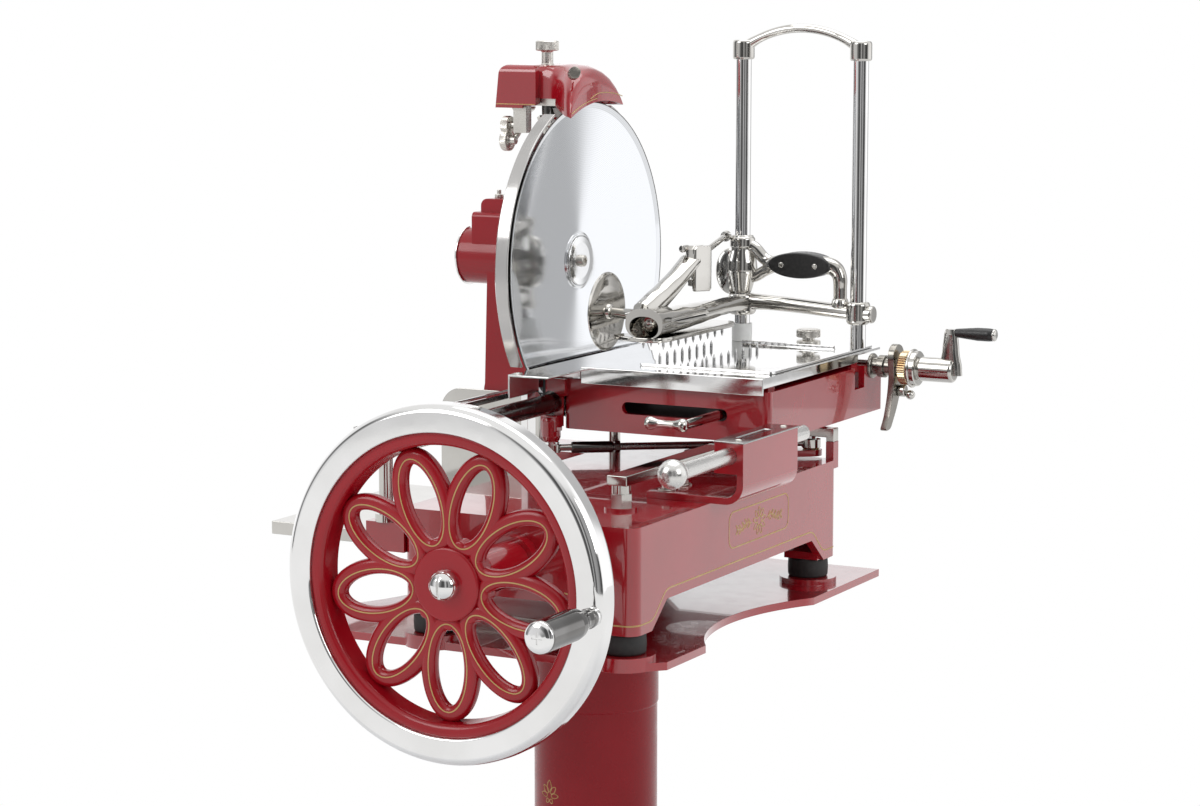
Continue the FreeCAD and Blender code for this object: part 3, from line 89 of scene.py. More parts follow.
def add_node(tree, kind, values=None, links=None):
    # shader node whose inputs get constants (values) and outputs of other nodes (links)
    node = tree.nodes.new("ShaderNode" + kind)
    for socket, value in (values or {}).items():
        node.inputs[socket].default_value = value
    for socket, source in (links or {}).items():
        tree.links.new(source, node.inputs[socket])
    return node


def new_material(name):
    material = bpy.data.materials.new(name)
    material.use_nodes = True
    tree = material.node_tree
    return material, tree, tree.nodes["Principled BSDF"]


def noise_at(tree, scale, detail, stretch=None):
    source = add_node(tree, "TexCoord").outputs["Object"]
    if stretch:
        source = add_node(tree, "Mapping", {"Scale": stretch}, {"Vector": source}).outputs["Vector"]
    noise = add_node(tree, "TexNoise", {"Scale": scale, "Detail": detail}, {"Vector": source})
    return noise.outputs["Fac"]


def rough_from(tree, shader, source, low, high, start=0.35, stop=0.65):
    ramp = add_node(tree, "MapRange",
        {"From Min": start, "From Max": stop, "To Min": low, "To Max": high}, {"Value": source})
    tree.links.new(ramp.outputs["Result"], shader.inputs["Roughness"])


def colour_from(tree, shader, source, dark, light, start=0.35, stop=0.65):
    ramp = add_node(tree, "ValToRGB", None, {"Fac": source})
    ends = ramp.color_ramp.elements
    ends[0].position, ends[1].position = start, stop
    ends[0].color, ends[1].color = (*dark, 1), (*light, 1)
    tree.links.new(ramp.outputs["Color"], shader.inputs["Base Color"])


def bump_from(tree, shader, source, strength, distance):
    bump = add_node(tree, "Bump", {"Strength": strength, "Distance": distance}, {"Height": source})
    tree.links.new(bump.outputs["Normal"], shader.inputs["Normal"])


def enamel(name, dark, light, rough=0.16, coat=1, sheen=0.6):
    material, tree, shader = new_material(name)
    colour_from(tree, shader, noise_at(tree, 9, 3), dark, light)
    rough_from(tree, shader, noise_at(tree, 60, 3), rough, rough + 0.07)
    bump_from(tree, shader, noise_at(tree, 420, 1), 0.04, 0.0004)
    shader.inputs["Coat Weight"].default_value = coat
    shader.inputs["Coat Roughness"].default_value = 0.025
    shader.inputs["Specular IOR Level"].default_value = sheen
    return material


def metal(name, dark, light, rough_low, rough_high, scale=40, stretch=None, bump=0.02):
    material, tree, shader = new_material(name)
    colour_from(tree, shader, noise_at(tree, scale * 0.4, 3), dark, light)
    rough_from(tree, shader, noise_at(tree, scale, 4, stretch), rough_low, rough_high)
    bump_from(tree, shader, noise_at(tree, scale * 12, 2, stretch), bump, 0.0002)
    shader.inputs["Metallic"].default_value = 1
    return material


def plastic(name, dark, light, rough, scale=300, bump=0.1):
    material, tree, shader = new_material(name)
    grain = noise_at(tree, scale, 3)
    colour_from(tree, shader, grain, dark, light)
    rough_from(tree, shader, grain, rough, rough + 0.15)
    bump_from(tree, shader, grain, bump, 0.0003)
    return material


RED = enamel("red_enamel", (0.3, 0.003, 0.0085), (0.345, 0.0045, 0.012))
RED_DARK = enamel("red_enamel_column", (0.2, 0.0018, 0.006), (0.235, 0.003, 0.0085),
    0.22, 0.12, 0.2)
RED_WHEEL = enamel("red_enamel_wheel", (0.29, 0.0026, 0.008), (0.335, 0.004, 0.011),
    0.2, 0.25, 0.35)
CHROME = metal("polished_chrome", (0.76, 0.755, 0.745), (0.82, 0.815, 0.81), 0.045, 0.1)
WARM_NICKEL = metal("warm_nickel", (0.48, 0.38, 0.24), (0.58, 0.47, 0.31), 0.18, 0.28, 60)
SATIN_ROD = metal("satin_rod_chrome", (0.66, 0.65, 0.63), (0.74, 0.73, 0.71),
    0.2, 0.3, 50, (14, 1, 14), 0.04)
# nickel in a darker tone
DARK_NICKEL = metal("dark_nickel", (0.26, 0.245, 0.22), (0.34, 0.32, 0.29), 0.16, 0.28, 50)
DARK_CHROME = metal("rod_chrome", (0.4, 0.395, 0.39), (0.48, 0.475, 0.47), 0.06, 0.12)
BRIGHT_NICKEL = metal("bright_nickel", (0.5, 0.485, 0.455), (0.58, 0.565, 0.535), 0.06, 0.12)
BLACK_CHROME = metal("black_chrome", (0.17, 0.165, 0.16), (0.23, 0.225, 0.22), 0.06, 0.12)
CHROME_SOFT = metal("soft_chrome", (0.44, 0.43, 0.42), (0.5, 0.49, 0.48), 0.12, 0.2)
CHROME_FLAT = metal("flat_chrome", (0.74, 0.745, 0.75), (0.78, 0.785, 0.79), 0.05, 0.08)
NICKEL = metal("satin_nickel", (0.6, 0.575, 0.53), (0.7, 0.68, 0.635), 0.24, 0.36, 60, (1, 1, 14),
    0.06)
STEEL = metal("machined_steel", (0.4, 0.4, 0.4), (0.55, 0.55, 0.55), 0.22, 0.38, 80)
# dark steel colour, also used as painted shade: on the slide rod and the knife's edge line it
# stands for dark reflections, on the carriage's sleeve for the shade inside the carriage
DARK_STEEL_AND_PAINTED_SHADE = metal("dark_steel_and_painted_shade", (0.12, 0.115, 0.11), (0.2, 0.195, 0.19), 0.16, 0.3, 80)
BRASS = metal("turned_brass", (0.6, 0.4, 0.14), (0.74, 0.53, 0.23), 0.2, 0.34, 70)
BLACK = plastic("black_plastic", (0.008, 0.008, 0.008), (0.018, 0.017, 0.017), 0.28)
RUBBER = plastic("black_rubber", (0.01, 0.01, 0.01), (0.024, 0.023, 0.022), 0.55, 220, 0.25)
WHITE = plastic("white_nylon", (0.74, 0.74, 0.72), (0.82, 0.82, 0.8), 0.35, 120, 0.05)
STONE = plastic("grinding_stone_grit", (0.2, 0.18, 0.17), (0.38, 0.36, 0.34), 0.8, 900, 0.8)
GOLD = metal("gold_pinstripe", (0.46, 0.3, 0.11), (0.54, 0.37, 0.15), 0.32, 0.45, 60)
GOLD.node_tree.nodes["Principled BSDF"].inputs["Metallic"].default_value = 0.35


def ground_steel(name, centre, scale):
    # polished disc steel with fine rings about the knife's axis
    material, tree, shader = new_material(name)
    place = add_node(tree, "TexCoord")
    mapping = add_node(tree, "Mapping", {"Location": tuple(-centre)},
        {"Vector": place.outputs["Object"]})
    wave = add_node(tree, "TexWave", {"Scale": scale, "Distortion": 1.2, "Detail": 2},
        {"Vector": mapping.outputs["Vector"]})
    wave.wave_type = "RINGS"
    wave.rings_direction = "X"
    rings = wave.outputs["Fac"]
    colour_from(tree, shader, rings, (0.7, 0.715, 0.735), (0.76, 0.775, 0.795), 0.2, 0.8)
    rough_from(tree, shader, rings, 0.055, 0.085, 0, 1)
    bump_from(tree, shader, rings, 0.02, 0.0001)
    shader.inputs["Metallic"].default_value = 1
    return material


KNIFE = ground_steel("knife_steel", v(KNIFE_X, KNIFE_Y, KNIFE_Z), 160)

SLOT_MATERIALS = {
    "red_paint": RED,
    "chrome": CHROME,
    "nickel": NICKEL,
    "steel": STEEL,
    "knife_steel": KNIFE,
    "brass": BRASS,
    "rubber": RUBBER,
    "black_plastic": BLACK,
    "white_plastic": WHITE,
    "stone": STONE,
}
NODE_SLOT = {s["node"]: s["material_slot"] for s in frame["record"]["subparts"]}
SLOT_OF = {m.name: s for s, m in SLOT_MATERIALS.items()}
SLOT_OF.update({"red_enamel_column": "red_paint", "soft_chrome": "chrome",
    "dark_steel_and_painted_shade": "steel", "gold_pinstripe": "brass", "red_enamel_wheel": "red_paint",
    "rod_chrome": "chrome", "bright_nickel": "chrome", "black_chrome": "chrome",
    "flat_chrome": "chrome", "warm_nickel": "nickel", "satin_rod_chrome": "chrome",
    "dark_nickel": "nickel"})
# finishes of nodes that keep their own shape
DRESS_MATERIAL = {
    "scale_plate": DARK_CHROME,
    "blade_column": RED_WHEEL,
    "rod_posts": BRIGHT_NICKEL,
    "rail_bar": BRIGHT_NICKEL,
    "slice_tray": BRIGHT_NICKEL,
    "slice_stop": BRIGHT_NICKEL,
    "tie_rod_ends": BRIGHT_NICKEL,
}
NODE_BODY = {}
for body_name, members in frame["record"]["behaviour"]["bodies"].items():
    for member in members:
        NODE_BODY[member] = body_name
for node_name, node_object in frame["nodes"].items():
    node_object.data.materials.clear()
    node_object.data.materials.append(SLOT_MATERIALS[NODE_SLOT[node_name]])
# the slide rod's dark colour is a painted dark reflection
frame["nodes"]["slide_rod"].data.materials[0] = DARK_STEEL_AND_PAINTED_SHADE

REPLACED = set()
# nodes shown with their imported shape, edges not broken
AS_PACKED = ("crank_shaft", "flywheel_shaft", "grinding_stone", "carriage_roller", "knife_shaft",
    "slide_rod", "table_spikes", "clamp_spikes", "tie_rod")

# ------------------------------------------------------------------ mesh helpers


def add_object(name, data):
    item = bpy.data.objects.new(name, data)
    bpy.context.scene.collection.objects.link(item)
    return item


def settled(item):
    # the object's mesh with its modifiers applied
    bpy.context.view_layer.update()
    graph = bpy.context.evaluated_depsgraph_get()
    return bpy.data.meshes.new_from_object(item.evaluated_get(graph))


def finish_mesh(name, mesh, material, body, angle):
    mesh.name = name
    mesh.materials.clear()
    mesh.materials.append(material)
    for face in mesh.polygons:
        face.use_smooth = True
    mesh.set_sharp_from_angle(angle=radians(angle))
    piece = add_object(name, mesh)
    # large flat faces keep their own normals, so that reflections in them stay straight
    weigh = piece.modifiers.new("weigh", "WEIGHTED_NORMAL")
    weigh.keep_sharp = True
    weigh.weight = 60
    final = settled(piece)
    piece.modifiers.clear()
    piece.data = final
    final.name = name
    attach(piece, body)
    return piece


@contextlib.contextmanager
def editing(mesh):
    # the mesh as a bmesh, written back at the end
    shape = bmesh.new()
    shape.from_mesh(mesh)
    yield shape
    shape.to_mesh(mesh)
    shape.free()


def mesh_from(points, faces):
    mesh = bpy.data.meshes.new("shape")
    mesh.from_pydata([tuple(p) for p in points], [], faces)
    with editing(mesh) as shape:
        bmesh.ops.recalc_face_normals(shape, faces=shape.faces)
    return mesh


def row_faces(count, size, closed=False, caps=True):
    # quads between neighbouring rows of size points each, and the two ends of an open run
    faces = []
    for k in range(count if closed else count - 1):
        n = (k + 1) % count
        for m in range(size):
            q = (m + 1) % size
            faces.append((k * size + m, k * size + q, n * size + q, n * size + m))
    if caps and not closed:
        faces += [tuple(range(size)), tuple(range((count - 1) * size, count * size))]
    return faces


def join_meshes(meshes):
    shape = bmesh.new()
    for mesh in meshes:
        shape.from_mesh(mesh)
    result = bpy.data.meshes.new("shape")
    shape.to_mesh(result)
    shape.free()
    return result


def bevel_sharp(shape, width, segments, angle):
    edges = [edge for edge in shape.edges if len(edge.link_faces) == 2
        and edge.calc_face_angle(0) > radians(angle)]
    if edges and width > 0:
        bmesh.ops.bevel(shape, geom=edges, offset=width, segments=segments, profile=0.5,
            affect="EDGES", clamp_overlap=True)


def dress(node, material):
    # the CAD node's own shape with its edges broken, so that they catch the light
    source = frame["nodes"][node]
    shape = bmesh.new()
    shape.from_mesh(source.data)
    bmesh.ops.remove_doubles(shape, verts=shape.verts, dist=1e-6)
    bmesh.ops.dissolve_limit(shape, angle_limit=radians(0.6), verts=shape.verts, edges=shape.edges)
    bevel_sharp(shape, DRESS_BEVEL, 2, 38)
    mesh = bpy.data.meshes.new(node)
    shape.to_mesh(mesh)
    shape.free()
    material = material or SLOT_MATERIALS[NODE_SLOT[node]]
    piece = finish_mesh("fine_" + node, mesh, material, NODE_BODY[node], 30)
    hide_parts(node)


def turns(count):
    return [2 * pi * k / count for k in range(count)]


def corner_arc(before, corner, after, radius, steps):
    # the arc that breaks one corner of a profile, or the corner itself where there is no room
    place = V((*corner, 0))
    before = V((*before, 0)) - place
    after = V((*after, 0)) - place
    size = min(radius, before.length * 0.45, after.length * 0.45)
    if size < 1e-6:
        return [corner]
    start = place + before.normalized() * size
    stop = place + after.normalized() * size
    arc = []
    for n in range(steps + 1):
        t = n / steps
        spot = start * (1 - t) ** 2 + place * (2 * t * (1 - t)) + stop * t ** 2
        arc.append((spot.x, spot.y))
    return arc


def rounded(points, radius, steps):
    # open profile with its inner corners broken; its two ends stay
    result = [points[0]]
    for k in range(1, len(points) - 1):
        result += corner_arc(*points[k - 1:k + 2], radius, steps)
    result.append(points[-1])
    return result


def close_rounded(points, radius, steps):
    # closed profile with every corner broken
    result = []
    for k in range(len(points)):
        result += corner_arc(points[k - 1], points[k], points[(k + 1) % len(points)], radius, steps)
    return result


def lathe_mesh(profile, origin, axis, side, steps):
    # profile of (along, radius) in millimetres, turned about the axis
    across = axis.cross(side)
    points = []
    faces = []
    rows = []
    for along, radius in profile:
        centre = origin + axis * (along * MM)
        if radius < 1e-6:
            rows.append([len(points)])
            points.append(centre)
            continue
        row = []
        for turn in turns(steps):
            row.append(len(points))
            points.append(centre + (side * cos(turn) + across * sin(turn)) * (radius * MM))
        rows.append(row)
    for a, b in zip(rows, rows[1:]):
        for k in range(steps):
            n = (k + 1) % steps
            if len(a) == 1 and len(b) == 1:
                continue
            if len(a) == 1:
                faces.append((a[0], b[k], b[n]))
            elif len(b) == 1:
                faces.append((a[k], a[n], b[0]))
            else:
                faces.append((a[k], a[n], b[n], b[k]))
    if len(rows[0]) > 1 and profile[0] != profile[-1]:
        faces.append(tuple(rows[0]))
    if len(rows[-1]) > 1 and profile[0] != profile[-1]:
        faces.append(tuple(rows[-1]))
    return mesh_from(points, faces)


def ring_mesh(profile, origin, axis, side, steps):
    # closed profile turned into a ring
    across = axis.cross(side)
    points = []
    for turn in turns(steps):
        out = side * cos(turn) + across * sin(turn)
        for along, radius in profile:
            points.append(origin + axis * (along * MM) + out * (radius * MM))
    return mesh_from(points, row_faces(steps, len(profile), True))


def turned(profile, radius, arcs, origin, axis, side, steps):
    # solid turned piece: the profile's ends go straight to the axis where they aren't on it
    first, last = profile[0], profile[-1]
    start = [(first[0], 0)] if first[1] else []
    stop = [(last[0], 0)] if last[1] else []
    return lathe_mesh(rounded(start + profile + stop, radius, arcs), origin, axis, side, steps)


def drum(start, stop, radius, origin, axis, side, steps):
    return lathe_mesh([(start, 0), (start, radius), (stop, radius), (stop, 0)],
        origin, axis, side, steps)


def turned_ring(profile, radius, arcs, origin, axis, side, steps):
    return ring_mesh(close_rounded(profile, radius, arcs), origin, axis, side, steps)


def way_at(path, k, closed):
    # direction of a path at its point k
    before = path[k - 1] if closed or k else path[k]
    after = path[(k + 1) % len(path)] if closed or k < len(path) - 1 else path[k]
    return (after - before).normalized()


def sweep_mesh(path, sections, closed=False, up=None):
    # sections is one list of (across, up) offsets in metres, or one list for each point
    count = len(path)
    each = sections if isinstance(sections[0][0], (list, tuple)) else [sections] * count
    points = []
    previous = None
    for k in range(count):
        way = way_at(path, k, closed)
        guess = up or previous or (Z if abs(way.z) < 0.9 else X)
        normal = (guess - way * guess.dot(way)).normalized()
        previous = normal
        side = way.cross(normal)
        for a, b in each[k]:
            points.append(path[k] + side * a + normal * b)
    return mesh_from(points, row_faces(count, len(each[0]), closed))


def squared_oval(across, up, steps, power_across, power_up):
    # oval section whose sides are flatter the lower the powers are
    section = []
    for turn in turns(steps):
        c, s = cos(turn), sin(turn)
        section.append((across * MM * copysign(abs(c) ** power_across, c),
            up * MM * copysign(abs(s) ** power_up, s)))
    return section


def oval_section(across, up, steps):
    return [(across * MM * cos(turn), up * MM * sin(turn)) for turn in turns(steps)]


def block_mesh(low, high, width=0, segments=2):
    # box with broken edges, corners in millimetres
    shape = bmesh.new()
    bmesh.ops.create_cube(shape, size=1)
    for vert in shape.verts:
        vert.co = V([(low[n] + high[n]) / 2 * MM + vert.co[n] * (high[n] - low[n]) * MM
            for n in range(3)])
    bevel_sharp(shape, width * MM, segments, 30)
    mesh = bpy.data.meshes.new("block")
    shape.to_mesh(mesh)
    shape.free()
    return mesh


def slab_mesh(outline, thick, width, segments=2):
    # outline of points in metres, extruded along the vector thick, with broken edges
    count = len(outline)
    points = list(outline) + [p + thick for p in outline]
    faces = [tuple(range(count)), tuple(range(count, 2 * count))]
    for k in range(count):
        n = (k + 1) % count
        faces.append((k, n, count + n, count + k))
    mesh = mesh_from(points, faces)
    with editing(mesh) as shape:
        bevel_sharp(shape, width * MM, segments, 50)
    return mesh


def piece_of(name, meshes, material, body, node=None, angle=35):
    mesh = join_meshes(meshes) if isinstance(meshes, list) else meshes
    piece = finish_mesh(name, mesh, material, body, angle)
    if node:
        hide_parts(node)
        REPLACED.add(node)


# ------------------------------------------------------------------ pieces

WHEEL = v(WHEEL_X, WHEEL_FRONT, WHEEL_Z)
KNIFE_CENTRE = v(KNIFE_X, KNIFE_Y, KNIFE_Z)


def boolean(mesh, cutters, operation="DIFFERENCE"):
    # cuts meshes out of a mesh, or joins them to it
    body = add_object("cut_body", mesh)
    tools = []
    for cutter in cutters:
        tool = add_object("cut_tool", cutter)
        step = body.modifiers.new("cut", "BOOLEAN")
        step.operation = operation
        step.solver = "EXACT"
        step.object = tool
        tools.append(tool)
    result = settled(body)
    for item in tools + [body]:
        bpy.data.objects.remove(item)
    return result


def break_edges(mesh, width, segments=2, angle=38):
    with editing(mesh) as shape:
        bmesh.ops.remove_doubles(shape, verts=shape.verts, dist=2e-6)
        bmesh.ops.dissolve_limit(shape, angle_limit=radians(0.5),
            verts=shape.verts, edges=shape.edges)
        bevel_sharp(shape, width * MM, segments, angle)
    return mesh


def arc_mesh(profile, centre, axis, side, start, stop, steps=72):
    # closed profile of (along, radius) turned through part of a circle; degrees from side
    across = axis.cross(side)
    points = []
    for k in range(steps + 1):
        turn = radians(start + (stop - start) * k / steps)
        out = side * cos(turn) + across * sin(turn)
        for along, radius in profile:
            points.append(centre + axis * (along * MM) + out * (radius * MM))
    return mesh_from(points, row_faces(steps + 1, len(profile)))


def ellipse_path(middle, out, side, half_length, half_width, steps=72):
    return [middle + out * (half_length * MM * cos(turn)) + side * (half_width * MM * sin(turn))
        for turn in turns(steps)]


def grip_pin(y):
    # axis of the wheel's grip at a depth y
    return v(WHEEL_X + GRIP_CIRCLE * cos(GRIP_TURN), y, WHEEL_Z + GRIP_CIRCLE * sin(GRIP_TURN))


def petal_way(k):
    turn = radians(-90 + PETAL_STEP * k)
    return V((cos(turn), 0, sin(turn)))


def flywheel_pieces():
    rim = turned_ring([(1.5, 144), (0, 145.5), (0, 163.5), (1.6, 166.5), (5.5, 170.2), (10, 171),
        (25, 171), (32, 167), (32, 149), (27, 144)], 1.6, 3, WHEEL, Y, X, 192)
    pin = grip_pin(WHEEL_FRONT)
    nut = turned([(-5, 8.6), (-1.2, 8.6), (-1.2, 9), (0.5, 9)], 0.8, 2, pin, Y, Z, 48)
    bolt = drum(-97, 0, 4.8, pin, Y, Z, 32)
    piece_of("wheel_rim", [rim, nut, bolt], CHROME, "flywheel", "flywheel_rim")
    face = WHEEL + Y * 0.014
    meshes = [turned_ring([(4, 144.4), (3.4, 141), (4.2, 135), (7.5, 132), (30, 130.5), (31, 133),
        (31, 144.4)], 2.5, 4, WHEEL, Y, X, 192)]
    lines = []
    section = squared_oval(8, 7.5, 20, 0.85, 0.8)
    stripe = oval_section(0.65, 0.34, 8)
    for k in range(PETALS):
        out = petal_way(k)
        side = out.cross(Y)
        middle = face + Y * 0.0075 + out * (80 * MM)
        meshes.append(sweep_mesh(ellipse_path(middle, out, side, 44.5, 23.4), section, True, up=-Y))
        front = face + Y * 0.00012 + out * (80 * MM)
        lines.append(sweep_mesh(ellipse_path(front, out, side, 42.2, 21.1), stripe, True, up=-Y))
    hub = turned([(-2.6, 33.6), (-1.4, 35.2), (4, 35.6), (18, 35), (20, 25), (44, 24)],
        1.2, 3, face, Y, X, 128)
    meshes.append(hub)
    for k in range(PETALS):
        # webs that fill the corners between the petals' roots and the hub
        out = petal_way(k)
        root = face + Y * 0.008 + out * (36.5 * MM)
        meshes.append(turned([(-7.6, 7.5), (7, 9)], 2.5, 3, root, Y, X, 24))
    piece_of("wheel_flower", meshes, RED_WHEEL, "flywheel", "flywheel_flower", 50)
    piece_of("wheel_gold_lines", lines, GOLD, "flywheel")
    dome = lathe_mesh([(-17.8, 0), (-17.5, 3.6), (-16.5, 7.4), (-14.6, 10.6), (-11.8, 13.2),
        (-8.6, 14.7), (-5.2, 15.2), (-2.4, 15.2), (-2.4, 11), (2, 11), (2, 0)], face, Y, X, 64)
    slot = block_mesh((WHEEL_X - 1.3, -404, WHEEL_Z - 20), (WHEEL_X + 1.3, -391.4, WHEEL_Z + 20))
    piece_of("wheel_cap", boolean(dome, [slot]), CHROME, "flywheel", angle=40)


def flywheel_grip():
    start = grip_pin(GRIP_FRONT)
    body = turned([(3, 12.6), (5.4, 12.6), (5.4, 14.2), (7, 15), (62, 15), (70, 14), (78, 11),
        (84, 9.4), (92, 9), (93, 9.6), (97, 9.6), (99.7, 8.6), (99.7, 5.05), (10, 5.05)],
        1, 3, start, Y, Z, 80)
    head = turned([(0, 0), (0.3, 5), (1, 9.5), (2.2, 12.4), (4, 14.6), (5.4, 14.8), (5.4, 12),
        (6, 0)], 0.8, 3, start, Y, Z, 80)
    cross = []
    for wide, tall in ((5.5, 0.8), (0.8, 5.5)):
        cross.append(block_mesh((start.x / MM - wide, -500, start.z / MM - tall),
            (start.x / MM + wide, -495.6, start.z / MM + tall)))
    head = boolean(head, cross)
    piece_of("grip_roll", body, BLACK_CHROME, "wheel_grip", "wheel_grip", 34)
    piece_of("grip_end", head, CHROME, "wheel_grip", angle=34)
    groove = lathe_mesh([(5.2, 12.3), (5.6, 12.9), (6.8, 12.9), (6.8, 12.3)], start, Y, Z, 64)
    piece_of("grip_groove", groove, BLACK, "wheel_grip")


def knife_pieces():
    centre = KNIFE_CENTRE
    blade = lathe_mesh([(-13, 0), (-13, 31), (-12.6, 32.5), (-2.4, 168), (-2, 169), (-0.2, 174.2),
        (-0.4, 174.8), (-1, 174.9), (-2.6, 171), (-6, 161), (-12, 151), (-17, 60), (-17, 0)],
        centre, X, Y, 256)
    piece_of("knife_disc", blade, KNIFE, "knife", "knife_blade", 12)
    plate = turned([(-14, 27.6), (-10.6, 27.6), (-9.9, 26.8), (-9.7, 20)], 0.4, 2, centre, X, Y, 96)
    rim = turned_ring([(-14, 28.3), (-14, 30), (-10.8, 30), (-10.8, 28.3)],
        0.4, 2, centre, X, Y, 96)
    screw = turned([(-10, 6.6), (-5.6, 6.4), (-4.8, 5.4)], 0.5, 2, centre, X, Y, 48)
    hexagon = ellipse_path(centre + X * -0.0066, Y, Z, 3.3, 3.3, 6)
    screw = boolean(screw, [slab_mesh(hexagon, X * 0.004, 0)])
    piece_of("knife_boss", [plate, rim], CHROME_FLAT, "knife", "knife_hub_plate", 30)
    piece_of("knife_boss_screw", screw, NICKEL, "knife")


def guard_pieces():
    centre = KNIFE_CENTRE
    band = close_rounded([(0, 179), (0, 181.5), (-14.5, 181.5), (-14.5, 179)], 0.8, 2)
    front = arc_mesh(band, centre, X, Y, *GUARD_FRONT, 120)
    back = arc_mesh(close_rounded([(-8, 179), (-8, 181.5), (-14.5, 181.5), (-14.5, 179)], 0.8, 2),
        centre, X, Y, *GUARD_BACK, 120)
    skin = [(-23, 40), (-23, 167.5), (-14.5, 181), (-12.5, 180), (-19.8, 167), (-20, 40)]
    web = arc_mesh(skin, centre, X, Y, *GUARD_FRONT, 96)
    web_back = arc_mesh(skin, centre, X, Y, *GUARD_BACK, 96)
    hub = turned_ring([(-29, 31), (-29, 56), (-20, 56), (-20, 31)], 1.5, 3, centre, X, Y, 96)
    piece_of("guard_band", [front, back, web, web_back, hub],
        CHROME_SOFT, "base", "knife_guard", 30)


def cover_pieces():

    def at(x, y, z):
        return v(x, KNIFE_Y + y, KNIFE_Z + z)

    # box over the sharpener, with a narrower waist and a flared wing over the knife
    box_part = block_mesh((-199, 138, 1287.5), (-148.5, 212, 1334.5))
    for vert in box_part.vertices:
        if vert.co.z > 1.3 and vert.co.x < -0.18:
            vert.co.x += 0.005
    with editing(box_part) as shape:
        edges = [e for e in shape.edges if min(e.verts[0].co.z, e.verts[1].co.z) > 1.3]
        bmesh.ops.bevel(shape, geom=edges, offset=0.009, segments=5, profile=0.5, affect="EDGES")
    # waist and wing are one form, drawn through stations along X
    wing_top = ((-74, 163), (-73.5, 172), (-71, 185), (-66, 196), (-57, 205.5), (-45, 212),
        (-31, 215.4), (-17, 217), (-4, 217), (9, 214.5), (21, 209.5), (32, 201), (41, 189),
        (46, 177), (46, 163))
    waist_top = ((-34, 163), (-34, 185), (-34, 201), (-33, 209), (-30, 213), (-24, 214.8),
        (-16, 215), (-6, 215), (4, 215), (14, 215), (20, 214.4), (25, 212), (28, 206), (29, 195),
        (29, 163))

    def form(stations, inset):
        points = []
        rows = []
        for x, share, squeeze, height in stations:
            row = []
            for (wy, wz), (ny, nz) in zip(wing_top, waist_top):
                base_z = sqrt(176.5 ** 2 - min(abs(wy), 75) ** 2) - 3
                round_z = base_z + (wz - base_z) * height if wz > base_z else wz
                round_y = wy * squeeze if wy < 0 else wy
                y = ny * (1 - share) + round_y * share
                z = nz * (1 - share) + round_z * share
                if inset:
                    away = V((0, y + 8, z - 150))
                    step = away.normalized() * inset
                    y, z = y - step.y, z - step.z
                row.append(at(x, y, z))
            rows.append(range(len(points), len(points) + len(row)))
            points += row
        faces = [tuple(rows[0]), tuple(rows[-1])]
        count = len(wing_top)
        for a, b in zip(rows, rows[1:]):
            for n in range(count):
                m = (n + 1) % count
                faces.append((a[n], a[m], b[m], b[n]))
        return mesh_from(points, faces)

    wing = form(((-151, 0, 0.5, 1), (-146, 0, 0.5, 1), (-141, 0.06, 0.5, 1), (-133, 0.3, 0.53, 1),
        (-126, 0.66, 0.58, 1), (-119, 0.9, 0.66, 0.99), (-112, 1, 0.75, 0.965),
        (-105, 1, 0.84, 0.95), (-99, 1, 0.91, 0.9), (-94, 1, 0.96, 0.83), (-90.5, 1, 0.985, 0.73),
        (-88.2, 1, 0.995, 0.6), (-87.2, 1, 1, 0.48), (-87, 1, 1, 0.42)), 0)
    room = form(((-153, 0, 0.5, 1), (-141, 0.04, 0.5, 1), (-126, 0.62, 0.58, 1), (-112, 1, 0.75,
        0.95), (-99, 1, 0.91, 0.8), (-94, 1, 0.96, 0.66), (-91, 1, 0.985, 0.45)), 3.4)
    inner_box = block_mesh((-196, 141, 1280), (-152, 209, 1331))
    floor_cut = block_mesh((-148.4, 100, 1270), (-124, 240, 1298))
    knife_room = drum(-60, 30, 176.5, KNIFE_CENTRE, X, Y, 160)
    whole = boolean(box_part, [wing], "UNION")
    whole = boolean(whole, [inner_box, room, knife_room, floor_cut])
    whole = break_edges(whole, 1, 2, 32)
    piece_of("cover_shell", whole, RED, "base", "sharpener_cover", 28)
    stripe = oval_section(0.5, 0.5, 6)
    lines = [sweep_mesh([at(-197.5, -42.02, 172.6), at(-149.5, -42.02, 172.6)], stripe)]
    front_line = []
    for n in range(17):
        y = -72 + 58 * n / 16
        front_line.append(at(-86.9, y, sqrt(180 ** 2 - y ** 2)))
    lines.append(sweep_mesh(front_line, stripe, up=X))
    back_line = []
    for n in range(21):
        y = -30 + 74 * n / 20
        lift = 3.5 * max(0, 1 - (y + 30) / 18)
        back_line.append(at(-86.9, y, sqrt(185.5 ** 2 - y ** 2) - lift))
    lines.append(sweep_mesh(back_line, stripe, up=X))
    piece_of("cover_gold_lines", lines, GOLD, "base")


def curve_spot(a, b, c, d, t):
    # Catmull-Rom curve between b and c
    return (b * 2 + (c - a) * t + (a * 2 - b * 5 + c * 4 - d) * t ** 2
        + (b * 3 - a - c * 3 + d) * t ** 3) * 0.5


def smooth_path(points, steps):
    # curve through points given in millimetres
    spots = [v(*p) for p in points]
    spots = [spots[0] * 2 - spots[1]] + spots + [spots[-1] * 2 - spots[-2]]
    path = []
    for k in range(1, len(spots) - 2):
        a, b, c, d = spots[k - 1:k + 3]
        for n in range(steps):
            path.append(curve_spot(a, b, c, d, n / steps))
    path.append(spots[-2])
    return path


def smooth_outline(points, steps=4):
    count = len(points)
    result = []
    for k in range(count):
        a, b, c, d = (V((*points[(k + n - 1) % count], 0)) for n in range(4))
        for n in range(steps):
            spot = curve_spot(a, b, c, d, n / steps)
            result.append((spot.x, spot.y))
    return result


def across_at(y, *spots):
    return [(x, y, z) for x, z in spots]


